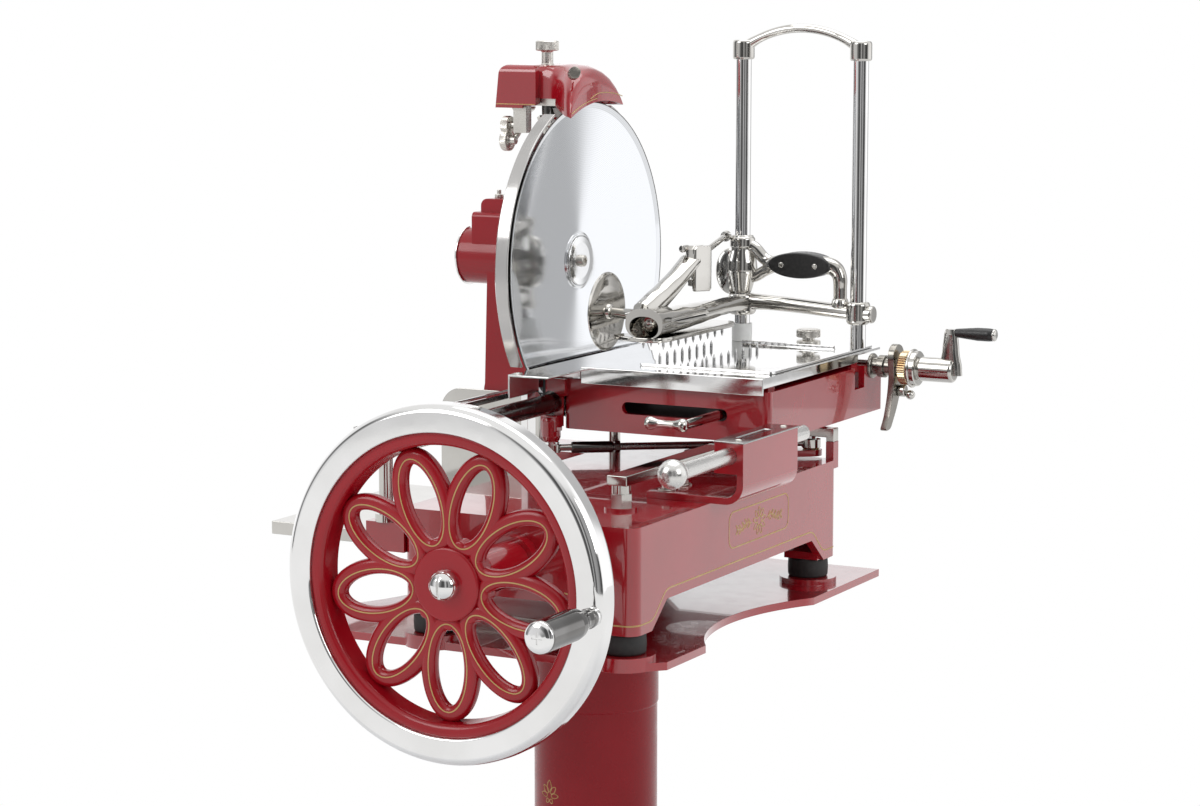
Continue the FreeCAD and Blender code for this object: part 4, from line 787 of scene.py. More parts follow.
def tube_through(points, sizes, steps, sides, up=None, power=1):
    # smooth solid along the points; sizes are (half width, half height) at each point
    path = smooth_path(points, steps)
    sections = []
    for n in range(len(path)):
        t = min(n / steps, len(sizes) - 1 - 1e-9)
        k = int(t)
        part = t - k
        part = part * part * (3 - 2 * part)
        wide = sizes[k][0] * (1 - part) + sizes[min(k + 1, len(sizes) - 1)][0] * part
        tall = sizes[k][1] * (1 - part) + sizes[min(k + 1, len(sizes) - 1)][1] * part
        sections.append(squared_oval(wide, tall, sides, power, power))
    return sweep_mesh(path, sections, up=up)


def oval_mesh(centre, size, steps=32, rows=16):
    points = []
    for r in range(rows + 1):
        polar = pi * r / rows
        for turn in turns(steps):
            points.append(centre + V((size[0] * MM * sin(polar) * cos(turn),
                size[1] * MM * sin(polar) * sin(turn), size[2] * MM * cos(polar))))
    return break_edges(mesh_from(points, row_faces(rows + 1, steps, caps=False)), 0)


def knurled(profile, radius, arcs, origin, axis, side, low, high, teeth, depth):
    # turned piece whose rim between two places along the axis is knurled
    mesh = turned(profile, radius, arcs, origin, axis, side, teeth * 2)
    across = axis.cross(side)
    for vert in mesh.vertices:
        spot = vert.co - origin
        along = spot.dot(axis) / MM
        flat = spot - axis * spot.dot(axis)
        if not low - 0.01 <= along <= high + 0.01 or flat.length < 1e-6:
            continue
        turn = atan2(flat.dot(across), flat.dot(side))
        if round(turn / (2 * pi) * teeth * 2) % 2:
            vert.co = origin + axis * spot.dot(axis) + flat * (1 - depth * MM / flat.length)
    return mesh


def carriage_details():
    # black plates inside and behind the carriage's front: painted shade in its hollow, round the
    # rod and under its shelf
    shade_liner = block_mesh((-70.5, 103.2, 950.5), (158.5, 104.6, 995.4))
    shade_wall = block_mesh((-103.5, 72.4, 962), (-77.2, 74, 1001.8), 0.3)
    hole = drum(-10, 10, 13.6, v(ROD_X, 73, ROD_Z), Y, Z, 48)
    shade_far = block_mesh((-100.2, 139, 985.5), (-78.6, 340, 987), 0.2)
    piece_of("carriage_painted_shade", [shade_liner, boolean(shade_wall, [hole]), shade_far], BLACK, "carriage")
    # the sleeve is darkened: painted shade inside the carriage
    sleeve = turned_ring([(72.6, 10.6), (72.6, 13.4), (137, 13.4), (138, 12.6), (138, 10.6)],
        0.4, 2, v(ROD_X, 0, ROD_Z), Y, Z, 64)
    piece_of("slide_sleeve", sleeve, DARK_STEEL_AND_PAINTED_SHADE, "carriage", "carriage_sleeve")
    apron = block_mesh((-88.5, 70.3, 951), (-77.6, 72.3, 1002.5), 0.5, 2)
    round_rod = drum(-10, 10, 10.4, v(ROD_X, 73, ROD_Z), Y, Z, 48)
    piece_of("carriage_apron", boolean(apron, [round_rod]), RED, "carriage")
    lug = turned([(931.3, 7.2), (934, 7.6), (936, 9), (940, 10.6), (958, 10.6), (961.5, 9)],
        1.2, 3, v(ROD_X, 65, 0), Z, X, 48)
    flat = block_mesh((-99, 58, 946), (-79, 72, 963.5), 1.5, 3)
    pin = drum(-0.4, 4, 2, v(-89, 57.8, 953), Y, Z, 24)
    piece_of("rod_lug", [lug, flat], RED, "carriage")
    piece_of("rod_lug_pin", pin, BLACK, "carriage")


def base_lines():
    low, high = 817, 843

    def run(middle, half):
        # stripe heights along one face of the base, from corner to corner
        start, stop = middle - half, middle + half
        return rounded([(start + BASE_CORNER, low), (start + 38.5, low), (start + 66, high),
            (stop - 66, high), (stop - 38.5, low), (stop - BASE_CORNER, low)], 9, 5)

    def corner(way_x, way_y, start_deg):
        x = BASE_X + way_x * (BASE_HALF_X - BASE_CORNER)
        y = BASE_Y + way_y * (BASE_HALF_Y - BASE_CORNER)
        turn = [radians(start_deg + 90 * n / 8) for n in range(1, 8)]
        return [v(x + (BASE_CORNER + PAINT) * cos(t), y + (BASE_CORNER + PAINT) * sin(t),
            low) for t in turn]

    across, along = run(BASE_X, BASE_HALF_X), run(BASE_Y, BASE_HALF_Y)
    path = [v(x, BASE_Y - BASE_HALF_Y - PAINT, z) for x, z in across] + corner(1, -1, -90)
    path += [v(BASE_X + BASE_HALF_X + PAINT, y, z) for y, z in along] + corner(1, 1, 0)
    path += [v(x, BASE_Y + BASE_HALF_Y + PAINT, z) for x, z in reversed(across)] + corner(-1, 1, 90)
    path += [v(BASE_X - BASE_HALF_X - PAINT, y, z)
        for y, z in reversed(along)] + corner(-1, -1, 180)
    lines = [flat_stripe(path, 0.75, True)]
    # plain ornament on the right side: a long frame with a rosette of the wheel's petals
    frame_path = []
    for y, z, start in ((91, 885, 0), (-32, 885, 90), (-32, 868, 180), (91, 868, 270)):
        for n in range(7):
            turn = radians(start + 90 * n / 6)
            frame_path.append(v(ORNAMENT_X, y + 10 * cos(turn), z + 10 * sin(turn)))
    lines.append(flat_stripe(frame_path, 0.7, True))
    middle = v(ORNAMENT_X, 29.5, 876.5)
    for k in range(PETALS):
        turn = radians(90 + PETAL_STEP * k)
        out = V((0, cos(turn), sin(turn)))
        side = V((0, -sin(turn), cos(turn)))
        lines.append(flat_stripe(ellipse_path(middle + out * 9.5 * MM, out, side, 5, 2.3, 24),
            0.5, True))
    for way in (-1, 1):
        stem = []
        for n in range(25):
            along = 18 + 36 * n / 24
            stem.append(v(ORNAMENT_X, 29.5 + way * along, 876.5 + 2.6 * sin(n / 24 * 2 * pi)))
        lines.append(flat_stripe(stem, 0.5, False))
        for n in range(5):
            along = 22 + 7 * n
            for up in (-1, 1):
                lean = V((0, way * 0.75, up * 0.66)).normalized()
                spot = v(ORNAMENT_X, 29.5 + way * along,
                    876.5 + 2.2 * sin((along - 18) / 36 * 2 * pi))
                over = V((0, -lean.z, lean.y))
                lines.append(flat_stripe(ellipse_path(spot + lean * 3.6 * MM, lean, over,
                    3.2, 1.1, 16), 0.45, True))
    piece_of("base_gold_lines", lines, GOLD, "base")


def flat_stripe(path, width, closed):
    # raised painted line: a low strip whose width lies in the face it is drawn on
    section = oval_section(0.18, width, 8)
    points = []
    count = len(path)
    for k in range(count):
        way = way_at(path, k, closed)
        x, y = path[k].x / MM - BASE_X, path[k].y / MM - BASE_Y
        if abs(x) / BASE_HALF_X > abs(y) / BASE_HALF_Y:
            out = V((copysign(1, x), 0, 0))
        else:
            out = V((0, copysign(1, y), 0))
        if abs(way.dot(out)) > 0.05:
            out = way.cross(Z).normalized()
        side = way.cross(out).normalized()
        for a, b in section:
            points.append(path[k] + out * a + side * b)
    return mesh_from(points, row_faces(count, len(section), closed))


def pedestal_pieces():
    centre = v(0, 0, 0)
    foot = turned([(0, 233), (2, 235), (15, 235), (20, 233.5), (25.5, 227), (28, 215), (32, 195),
        (38, 170), (48, 145), (60, 125), (78, 103), (98, 88), (112, 81), (124, 75), (130, 72)],
        6, 3, centre, Z, X, 160)
    piece_of("stand_foot", foot, RED_DARK, "base", "pedestal_foot")
    column = turned([(130, 70.8), (140.6, 70.8), (142, 69.4), (142, 65), (300, 65), (673.5, 65),
        (674, 65.6), (675.5, 66.2), (731.3, 66.2), (732, 65.3), (732, 61), (736, 61), (772, 61)],
        0.6, 2, centre, Z, X, 128)
    piece_of("stand_column", column, RED_DARK, "base", "pedestal_column")
    # small lotus painted on the column's front
    lotus = []

    def on_column(u, z):
        turn = radians(-110) + u / COLUMN_RADIUS
        reach = COLUMN_RADIUS + 0.15
        return v(reach * cos(turn), reach * sin(turn), z)

    for lean, length, wide, foot_u, foot_z in ((0, 12, 3.2, 0, 586), (-0.75, 10, 2.8, -2, 584.5),
            (0.75, 10, 2.8, 2, 584.5), (-1.5, 9.5, 2.5, -3, 582), (1.5, 9.5, 2.5, 3, 582),
            (-2.6, 5, 2, -1.5, 578), (2.6, 5, 2, 1.5, 578)):
        loop = []
        for turn in turns(24):
            along = length * (1 + cos(turn)) / 2
            aside = wide * sin(turn) * (1 - 0.35 * cos(turn))
            loop.append(on_column(foot_u + along * sin(lean) + aside * cos(lean),
                foot_z + along * cos(lean) - aside * sin(lean)))
        lotus.append(sweep_mesh(loop, oval_section(0.42, 0.42, 6), True))
    piece_of("column_lotus", lotus, GOLD, "base")
    rubbers = []
    for x in (-61, 151):
        for y in (-224, 206):
            rubbers.append(turned([(786, 20), (787.5, 21.4), (796, 21.9), (805, 21.4), (807, 20.2)],
                1, 3, v(x, y, 0), Z, X, 48))
    piece_of("soft_feet", rubbers, RUBBER, "base", "rubber_feet")


def clamp_pieces():
    beam = tube_through(across_at(POST_Y, (LEFT_POST, 1066), (50, 1065.5), (100, 1062.5), (140,
        1059.5), (163, 1058)), [(10, 9.5), (9, 8.5), (8.5, 8), (8.5, 8), (8.5, 8)], 6, 24, Z, 0.8)
    end = turned([(-12, 9), (7, 9.8), (10, 9.4)], 1.5, 3, v(160, POST_Y, 1058.5), X, Z, 48)
    boss_right = turned([(1047, 11.5), (1050.5, 13.5), (1069, 13.5), (1072, 12)],
        1.2, 3, v(RIGHT_POST, POST_Y, 0), Z, X, 48)
    boss_left = turned([(1051, 13.5), (1054, 15.8), (1072, 15.8), (1075, 14)],
        1.5, 3, v(LEFT_POST, POST_Y, 0), Z, X, 64)
    forward = tube_through([(LEFT_POST, POST_Y, 1063), (8.5, 305, 1064.5), (8.5, 272, 1064.5),
        (8.2, 240, 1064), (8, 205, 1063.5), (7.8, 165, 1063.2), (7.6, 125, 1063.5),
        (7.6, 94, 1063.8)], [(13, 9.5), (12, 9), (12.2, 9.6), (14, 10.6), (16.5, 12), (19, 13.4),
        (21.2, 15), (22.4, 16.4)], 6, 32, Z, 0.85)
    scoop = oval_mesh(v(31, 178, 1066), (9.5, 66, 7.5), 48, 24)
    cavity = tube_through([(7.6, 80, 1060), (7.6, 92, 1060), (7.6, 110, 1060), (7.6, 140, 1060)],
        [(17.5, 12), (17.5, 12), (16.5, 11), (14, 9)], 3, 32, Z, 0.9)
    forward = boolean(forward, [scoop, cavity])
    leaf = [v(x, y, 1044) for x, y in smooth_outline([(-36, 112), (-34, 105), (-16, 95), (7.5, 91),
        (21, 94), (28, 103), (29.9, 118), (29.9, 150), (29.9, 200), (29.9, 262), (24, 280),
        (7, 283), (-9, 280), (-14.9, 262), (-14.9, 200), (-15.2, 150), (-22, 130), (-32, 121)], 3)]
    leaf_body = slab_mesh(leaf, Z * 0.0052, 1.2, 2)
    piece_of("clamp_spike_plate", leaf_body, BRIGHT_NICKEL, "clamp")
    piece_of("clamp_beam", [beam, end, boss_right, boss_left, forward],
        BRIGHT_NICKEL, "clamp", "clamp_bar", 38)
    column = turned([(1075.2, 9.6), (1078, 11), (1096, 16), (1101, 17.5), (1112, 16.5), (1124, 13),
        (1132, 12.6), (1141, 12.6)], 2, 3, v(LEFT_POST, POST_Y, 0), Z, X, 64)
    wing = oval_mesh(v(-7, POST_Y, 1099), (17.5, 9, 26))
    upper = tube_through(across_at(POST_Y, (12, 1131), (24, 1126), (36, 1115), (47, 1110)),
        [(8, 9), (7.5, 6.5), (7, 6), (8, 8)], 6, 24, Y)
    lower = tube_through(across_at(POST_Y, (12, 1093), (24, 1094.5), (36, 1101), (47, 1108)),
        [(7, 7), (6.5, 5.5), (6.5, 5.5), (8, 8)], 6, 24, Y)
    handle = tube_through(across_at(POST_Y, (42, 1108.5), (50, 1110), (83, 1111), (112, 1110.5),
        (123, 1107), (128.5, 1098), (129.2, 1085), (129.2, 1071)), [(8, 8), (9, 9), (9.5, 11),
        (10, 10.5), (9, 8.5), (8, 7.5), (7.5, 7), (7.5, 7)], 6, 28, Y, 0.85)
    foot = turned([(1064, 10), (1070, 10), (1075, 8.2)], 1.5, 3, v(129.2, POST_Y, 0), Z, X, 40)
    screws = []
    for x in (62, 103):
        for side in (-1, 1):
            screw = turned([(-1.5, 3.2), (0.9, 3.2), (1.4, 2.4)],
                0.4, 2, v(x, POST_Y + side * 11.7, 1110), Y * side, X, 28)
            cut = block_mesh((x - 3.5, POST_Y + side * 11.7 + (0.7 if side > 0 else -1.6), 1109.6),
                (x + 3.5, POST_Y + side * 11.7 + (1.6 if side > 0 else -0.7), 1110.4))
            screws.append(boolean(screw, [cut]))
    collar = turned([(1126, 12), (1128, 14.4), (1137, 14.4), (1139.5, 12.5)],
        1, 3, v(LEFT_POST, POST_Y, 0), Z, X, 48)
    piece_of("clamp_head_cast", [column, wing, upper, lower, handle, foot, collar] + screws,
        BRIGHT_NICKEL, "clamp", "clamp_head", 38)
    rows = ((-11.8, 0.9), (-11.2, 0.965), (-9.6, 1), (9.6, 1), (11.2, 0.965), (11.8, 0.9))
    points = []
    steps = 64
    for y, share in rows:
        for turn in turns(steps):
            points.append(v(83 + 38 * share * cos(turn),
                POST_Y + y, 1110 + 14.5 * share * sin(turn)))
    piece_of("handle_insert", mesh_from(points, row_faces(len(rows), steps)),
        BLACK, "clamp", "clamp_grip", 30)
    disc = turned([(0, 0), (0.2, 20), (-0.6, 41.5), (0.4, 42.9), (1.4, 42.6), (2.2, 40), (2.9, 28),
        (3.3, 14), (3.5, 0)], 0.5, 2, v(-56, 128, 1071), X, Y, 96)
    piece_of("guard_dish", disc, BRIGHT_NICKEL, "clamp", "guard_disc", 50)
    arm = tube_through([(-6, 118, 1070), (-5, 138, 1079), (-2.5, 165, 1092), (0.5, 192, 1107),
        (2.5, 212, 1120), (3, 221, 1124)],
        [(15, 11), (14, 11.5), (11.5, 11.5), (9, 12), (7, 12.5), (5.6, 11)], 6, 28, X, 0.8)
    cheek = slab_mesh([v(8 + (y - 207.5) * 0.27, y, z) for y, z in ((207.5, 1092), (208.5, 1088),
        (231, 1087), (234, 1090), (234, 1133), (231, 1137.5), (212, 1138), (208, 1134.5))],
        X * 0.0045, 1.3, 2)
    stud_pin = turned([(-6, 4), (6, 4)], 0.8, 2, v(-3.4, 212, 1134.5), Y, X, 28)
    socket = oval_mesh(v(-1, 128, 1063), (12.5, 13, 12.5))
    stud = tube_through(across_at(128, (-52.6, 1071), (-40, 1070), (-20, 1068.5), (-3, 1066)),
        [(5, 5), (5.5, 5.5), (6.5, 6.5), (9, 9)], 6, 20)
    button = turned([(0, 9), (3.5, 8), (5.5, 5.5)], 1, 3, v(-53, 128, 1071), X, Y, 40)
    head = slab_mesh([v(-0.2, y, z) for y, z in ((206, 1110), (214, 1106.4), (233, 1106.4),
        (234, 1110), (233, 1134), (229, 1138), (213, 1138), (208.4, 1134))], X * 0.0125, 1.8, 3)
    stay = tube_through([(4, 230, 1124), (-1, 280, 1133), (-6.5, 326, 1141)],
        [(3.6, 3.6), (3.5, 3.5), (3.5, 3.5)], 6, 16)
    nut = turned([(0, 6), (7, 6)], 1, 2, v(-5.2, 318, 1139.2), V((-0.12, 0.975, 0.18)).normalized(),
        X, 24)
    piece_of("guard_arm", [arm, socket, stud, button, head, cheek, stud_pin, stay, nut],
        BRIGHT_NICKEL, "clamp", "clamp_arm", 38)
    place = v(4, 221, 1105.7)
    screw = knurled([(0, 3.4), (5, 3.4), (5, 6.6), (12.4, 6.6), (12.9, 5.8)],
        0.5, 2, place, -Z, X, 5.3, 12.2, 24, 0.5)
    piece_of("guard_screw", screw, BRIGHT_NICKEL, "clamp_screw", "clamp_screw", 30)


def post_pieces():
    posts = [drum(1020.8, 1338, 8.98, v(x, POST_Y, 0), Z, X, 64) for x in (LEFT_POST, RIGHT_POST)]
    piece_of("upright_posts", posts, CHROME, "meat_table", "clamp_posts")
    caps = [turned([(1338, 11.4), (1340, 12.3), (1357, 12.3), (1359.4, 11.2), (1359.9, 9)],
        0.9, 3, v(x, POST_Y, 0), Z, X, 48) for x in (LEFT_POST, RIGHT_POST)]
    # sag of the bow between the posts, a circle through both caps and the crown
    half, rise = 71.25, 23
    sweep = (half * half + rise * rise) / (2 * rise)
    bow = []
    sizes = []
    for n in range(25):
        x = -half + 2 * half * n / 24
        bow.append((79.75 + x, POST_Y, 1350 + sqrt(sweep ** 2 - x ** 2) - (sweep - rise)))
        near = max(0, 1 - (half - abs(x)) / 20)
        sizes.append((4.9 + 2 * near, 4.9 + 2 * near))
    arch = tube_through(bow, sizes, 2, 24, Y)
    piece_of("post_bow", caps + [arch], BRIGHT_NICKEL, "meat_table", "post_arch")
    seat = v(97, 322, TABLE_TOP + 0.2 + 2.6 + 0.3)
    knob = knurled([(0, 13.2), (0.6, 13.5), (5.5, 13.5), (6.2, 12.8), (6.2, 7), (10, 7), (10, 13),
        (10.8, 13.5), (17.6, 13.5), (18.6, 12.6), (19, 11.5)],
        0.3, 1, seat, Z, X, 10.4, 17.9, 60, 0.35)
    piece_of("table_turn_knob", knob, NICKEL, "table_knob", "table_knob", 25)


def feed_pieces():
    centre = v(0, FEED_Y, FEED_Z)
    flange = turned([(166, 14), (168.6, 14), (170, 12.6), (170, 10), (202.4, 10), (202.4, 6.1),
        (172, 6.1)], 0.6, 2, centre, X, Y, 64)
    ring = turned_ring([(176, 10), (176, 12.5), (184, 12.5), (184, 10)], 0.8, 2, centre, X, Y, 64)
    piece_of("feed_bearing", [flange, ring], DARK_NICKEL, "carriage", "feed_flange")
    shaft = drum(-27, 202, 6, centre, X, Y, 40)
    wheel = knurled([(203, 17.8), (204, 19), (212, 19), (213, 17.8)],
        0.3, 1, centre, X, Y, 203.4, 212.7, 44, 1.1)
    hub = turned([(212.9, 12), (214.5, 12), (214.5, 21), (215.2, 21.6), (216.6, 21.6), (217.3, 21),
        (217.3, 19.6), (222.4, 19.6), (223.2, 18.6), (223.2, 12), (233, 12)],
        0.4, 2, centre, X, Y, 96)
    piece_of("feed_spindle", [shaft, hub], BRIGHT_NICKEL, "feed", "feed_screw")
    piece_of("feed_ratchet", wheel, WARM_NICKEL, "feed", angle=25)
    boss = turned([(225, 12.6), (226.4, 13.5), (262.5, 13.5), (265, 11.5)],
        1.2, 3, centre, X, Y, 64)
    web = tube_through(across_at(FEED_Y, (260, 996), (260, 1004), (260, 1024), (260, 1040),
        (260, 1047)), [(5.2, 13.4), (5.2, 13), (4.8, 9.5), (4.8, 8), (4.2, 6)], 5, 24, X, 0.75)
    piece_of("feed_arm", [boss, web], BRIGHT_NICKEL, "feed", "feed_crank")
    face = v(265, FEED_Y, 1043)
    grip = turned([(0.3, 4.6), (4, 5), (10, 5.6), (26, 7.2), (40, 7.2), (44.5, 6.6)],
        1, 3, face, X, Y, 48)
    piece_of("feed_handle", grip, BLACK, "feed_grip", "feed_grip")
    tip = turned([(44.3, 6.5), (45.6, 6.9), (47.2, 6), (48, 3.8)], 0.5, 2, face, X, Y, 48)
    cut = block_mesh((312.2, 334, 1042.5), (316, 346, 1043.5))
    piece_of("feed_handle_cap", boolean(tip, [cut]), BRIGHT_NICKEL, "feed_grip")


def trip_pieces():
    outline = []
    for y, z in smooth_outline([(-15.5, 8), (-13, 20), (-2, 26), (11, 21), (15.5, 8), (12, -9),
            (6, -26), (-3, -43), (-14, -58), (-22, -66), (-34, -66), (-26, -54), (-19, -38),
            (-14.5, -22), (-13, -8)]):
        outline.append(v(191.5, FEED_Y + y, FEED_Z + z))
    plate = slab_mesh(outline, X * 0.0075, 0.8, 2)
    bore = drum(180, 210, 10.2, v(0, FEED_Y, FEED_Z), X, Y, 48)
    plate = boolean(plate, [bore])
    piece_of("trip_plate", plate, DARK_NICKEL, "trip_lever", "trip_lever", 30)
    pawl = turned([(199.4, 6.2), (201, 6.8), (206.5, 6.8), (207.5, 5.8)], 0.8, 2, v(0, 341, 975),
        X, Y, 40)
    slot = block_mesh((206.8, 340.3, 966), (209, 341.7, 984))
    pawl = boolean(pawl, [slot])
    link = tube_through(across_at(341, (203.5, 974), (208, 972.5), (212.5, 971)),
        [(2.6, 2.6), (2.3, 2.3), (2.3, 2.3)], 4, 16)
    tip = oval_mesh(v(212.5, 341, 971), (5.4, 5.4, 5.4))
    piece_of("trip_pawl", [pawl, link, tip], BRIGHT_NICKEL, "trip_lever")


def lever_pieces():
    stem = turned([(-13, 4), (-11, 4.8), (10, 5.2), (60, 5.4), (73, 5.4), (74, 4.2), (95, 4.2)],
        0.8, 2, v(LEVER_X, 0, LEVER_Z), Y, X, 40)
    grip = turned([(-2, 3.6), (-0.4, 6), (3.5, 7.2), (7.5, 6), (12, 4.2), (20, 3.8), (25, 3.8), (32,
        4.2), (36.5, 6), (40.5, 7.2), (44.4, 6), (46, 3.6)], 2, 3, v(111, -13, LEVER_Z), -X, Z, 48)
    piece_of("lever_handle", [stem, grip], BRIGHT_NICKEL, "release_lever", "release_lever", 40)
    # black plate behind the lever's slot: painted shade in the slot
    face = block_mesh((90.2, 79.2, 951), (123.5, 80.4, 995.6))
    hole = drum(60, 100, 5, v(LEVER_X, 0, LEVER_Z), Y, X, 40)
    piece_of("lever_slot_painted_shade", boolean(face, [hole]), BLACK, "carriage")


def control_pieces():
    ball = oval_mesh(v(DIAL_X, -209, DIAL_Z), (14.5, 14.5, 14.5), 64, 32)
    rod = turned([(-209, 8.5), (91, 8.5), (92, 7.5)], 0.4, 2, v(DIAL_X, 0, DIAL_Z), Y, X, 48)
    neck = turned([(-197.5, 7), (-196, 9.6), (-192, 9.6), (-190.6, 8.5)],
        0.8, 2, v(DIAL_X, 0, DIAL_Z), Y, X, 48)
    piece_of("control_rod", [ball, rod, neck], SATIN_ROD, "thickness_rod", "thickness_rod")
    ticks = []
    for n in range(19):
        y = -58 + n * 4
        reach = 5.2 if n % 5 == 0 else 3
        ticks.append(block_mesh((197.6 - reach, y - 0.28, SCALE_TOP + 1.45),
            (198.2, y + 0.28, SCALE_TOP + 1.68)))
    ticks.append(block_mesh((198, -60.5, SCALE_TOP + 1.45), (198.5, 16.5, SCALE_TOP + 1.68)))
    piece_of("scale_marks", ticks, BLACK, "base")
    bolts = []
    for y in (-72, -36):
        middle = v(120, y, 919)
        washer = turned([(0, 9), (1.2, 9), (1.5, 8.4)], 0.2, 1, middle, Z, X, 48)
        bolts += [washer, hexagon_mesh(middle + Z * 0.0015, 9.5, 3.6, 0.6)]
        bolts.append(oval_mesh(middle + Z * 0.0046, (3.2, 3.2, 1.6), 24, 10))
    for y in (-74, 32):
        head = turned([(0, 3.4), (0.9, 3.2), (1.4, 2)], 0.4, 2, v(200, y, 975.6), Z, X, 32)
        cut = block_mesh((196, y - 0.4, 976.3), (204, y + 0.4, 978))
        bolts.append(boolean(head, [cut]))
    column = v(-219, 180, 1185)
    bolts.append(turned([(0, 5), (3.6, 5), (4, 4.4), (4, 2.5), (8.6, 2.5), (9, 2)],
        0.3, 1, column, Z, X, 32))
    dome = v(-94, 122, 1325.5)
    dome_way = (X - Y + Z * 0.35).normalized()
    dome_knob = knurled([(-4, 3.4), (4, 3.4), (4, 6.8), (10.4, 6.8), (11, 6.2)],
        0.3, 1, dome, dome_way, Z, 4.2, 10.6, 28, 0.45)
    piece_of("cover_dome_knob", dome_knob, DARK_NICKEL, "base", angle=25)
    piece_of("fixing_screws", bolts, NICKEL, "base", "machine_screws", 25)


def hexagon_mesh(base, across, height, width):
    corner = across / sqrt(3)
    turn = [radians(60 * k + 20) for k in range(6)]
    outline = [base + X * (corner * cos(t) * MM) + Y * (corner * sin(t) * MM) for t in turn]
    return slab_mesh(outline, Z * (height * MM), width, 2)


def sharpener_knobs():
    stem = v(-157, 180, 1332)
    knob = knurled([(0.3, 7.5), (2.6, 7.5), (3.2, 6.5), (15.5, 6.5), (17, 8), (17, 11.4),
        (17.8, 12.8), (27, 12.8), (28, 11.8)], 0.3, 1, stem, Z, X, 17.6, 27.2, 56, 0.35)
    piece_of("sharpener_turn_knob", knob, NICKEL, "sharpener_knob", "sharpener_knob", 25)
    place = v(-181.3, 152, 1268)
    side = knurled([(0, 4), (6, 4), (6, 9.4), (6.6, 10), (14.2, 10), (15, 9.2)],
        0.3, 1, place, -X, Y, 6.4, 14.4, 48, 0.35)
    piece_of("side_turn_knob", side, NICKEL, "side_knob", "side_knob", 25)


def sharpener_linkage():
    bracket = slab_mesh([v(x, 159, z) for x, z in ((-192, 1288), (-167, 1288), (-169, 1284),
        (-175, 1279.5), (-183, 1278.5), (-187, 1281))], Y * 0.014, 1, 2)
    disc = knurled([(0, 8), (0.8, 8), (0.8, 11.4), (1.4, 12), (8.4, 12), (9, 11.2)],
        0.3, 1, v(-186, 150, 1251.5), -X, Y, 1.2, 8.6, 48, 0.35)
    face = turned([(-6, 4.6), (-1, 5), (0.5, 7.4)], 0.5, 2, v(-186, 150, 1251.5), -X, Y, 40)
    link = tube_through([(-183, 151, 1252), (-180, 155, 1259), (-179, 163, 1268),
        (-179, 166, 1280)], [(4, 3), (4, 3), (4.5, 3), (5, 3.5)], 5, 16)
    bent = slab_mesh([v(x, 148, z) for x, z in ((-153, 1277), (-149, 1280), (-145, 1272),
        (-141, 1270), (-141, 1260), (-145, 1259), (-148, 1267))], Y * 0.006, 0.8, 2)
    knob = turned([(-8, 2.6), (-3, 2.6), (-3, 5.2), (4, 5.2), (5, 4)], 0.6, 2, v(-138, 150, 1272),
        X, Y, 32)
    piece_of("sharpener_linkage", [bracket, disc, face, link, bent, knob], NICKEL, "base", angle=28)
    barrel = turned([(1279, 7), (1280, 8), (1290, 8), (1290.6, 7.2), (1292, 7.2), (1292.6, 8),
        (1299, 8)], 0.4, 2, v(-145.5, 163, 0), Z, X, 40)
    piece_of("sharpener_barrel", barrel, DARK_STEEL_AND_PAINTED_SHADE, "base")


def band_pieces():
    centre = KNIFE_CENTRE
    ring = turned([(-158, 15), (-156.5, 20), (-155, 20), (-154.6, 30), (-153, 33), (-151, 33),
        (-151, 31)], 0.6, 2, centre, X, Y, 96)
    piece_of("housing_ring", ring, CHROME, "base", "bearing_ring")
    # thin dark ring over the knife's edge: painted dark reflection of the edge's bevel
    line = turned_ring([(0.1, 173.9), (0.1, 175), (-1.2, 175), (-1.2, 173.9)],
        0.2, 1, centre, X, Y, 256)
    piece_of("knife_edge_painted_reflection", line, DARK_STEEL_AND_PAINTED_SHADE, "knife")


def rod_coupling():
    # threaded coupling with its lock nut, where the tie rod's length is set
    way = V((0.8167, 0.5769, 0)).normalized()
    start = v(ROD_X, 65, 927.5) + way * 0.022
    coupling = turned([(0, 5.4), (1, 6.2), (44, 6.2), (46, 5.2)], 0.8, 2, start, way, Z, 40)
    hexagon = ellipse_path(start + way * 0.047, Z, way.cross(Z), 6.6, 6.6, 6)
    nut = slab_mesh(hexagon, way * 0.006, 0.6, 2)
    piece_of("rod_coupling", [coupling, nut], DARK_STEEL_AND_PAINTED_SHADE, "tie_rod")


for build in (flywheel_pieces, flywheel_grip, knife_pieces, guard_pieces, cover_pieces,
        carriage_details, base_lines, pedestal_pieces, clamp_pieces, post_pieces, rod_coupling,
        feed_pieces, trip_pieces, lever_pieces, control_pieces, sharpener_knobs, sharpener_linkage,
        band_pieces):
    build()

for node_name in sorted(frame["nodes"]):
    if node_name not in REPLACED and node_name not in AS_PACKED:
        dress(node_name, DRESS_MATERIAL.get(node_name))

# ------------------------------------------------------------------ stage


def shade_floor():
    material = bpy.data.materials.new("studio_floor")
    material.use_nodes = True
    tree = material.node_tree
    tree.nodes.clear()
    plain = add_node(tree, "BsdfDiffuse", {"Color": (0.86, 0.86, 0.86, 1)})
    white = add_node(tree, "Emission", {"Color": (1, 1, 1, 1), "Strength": 1})
    place = add_node(tree, "TexCoord")
    length = add_node(tree, "VectorMath", None, {0: place.outputs["Object"]})
    length.operation = "LENGTH"
    spread = add_node(tree, "MapRange", {"From Min": 0.55, "From Max": 1.9},
        {"Value": length.outputs["Value"]})
    spread.interpolation_type = "SMOOTHSTEP"
    mix = add_node(tree, "MixShader", None,
        {"Fac": spread.outputs["Result"], 1: plain.outputs["BSDF"], 2: white.outputs["Emission"]})
    add_node(tree, "OutputMaterial", None, {"Surface": mix.outputs["Shader"]})
    return material


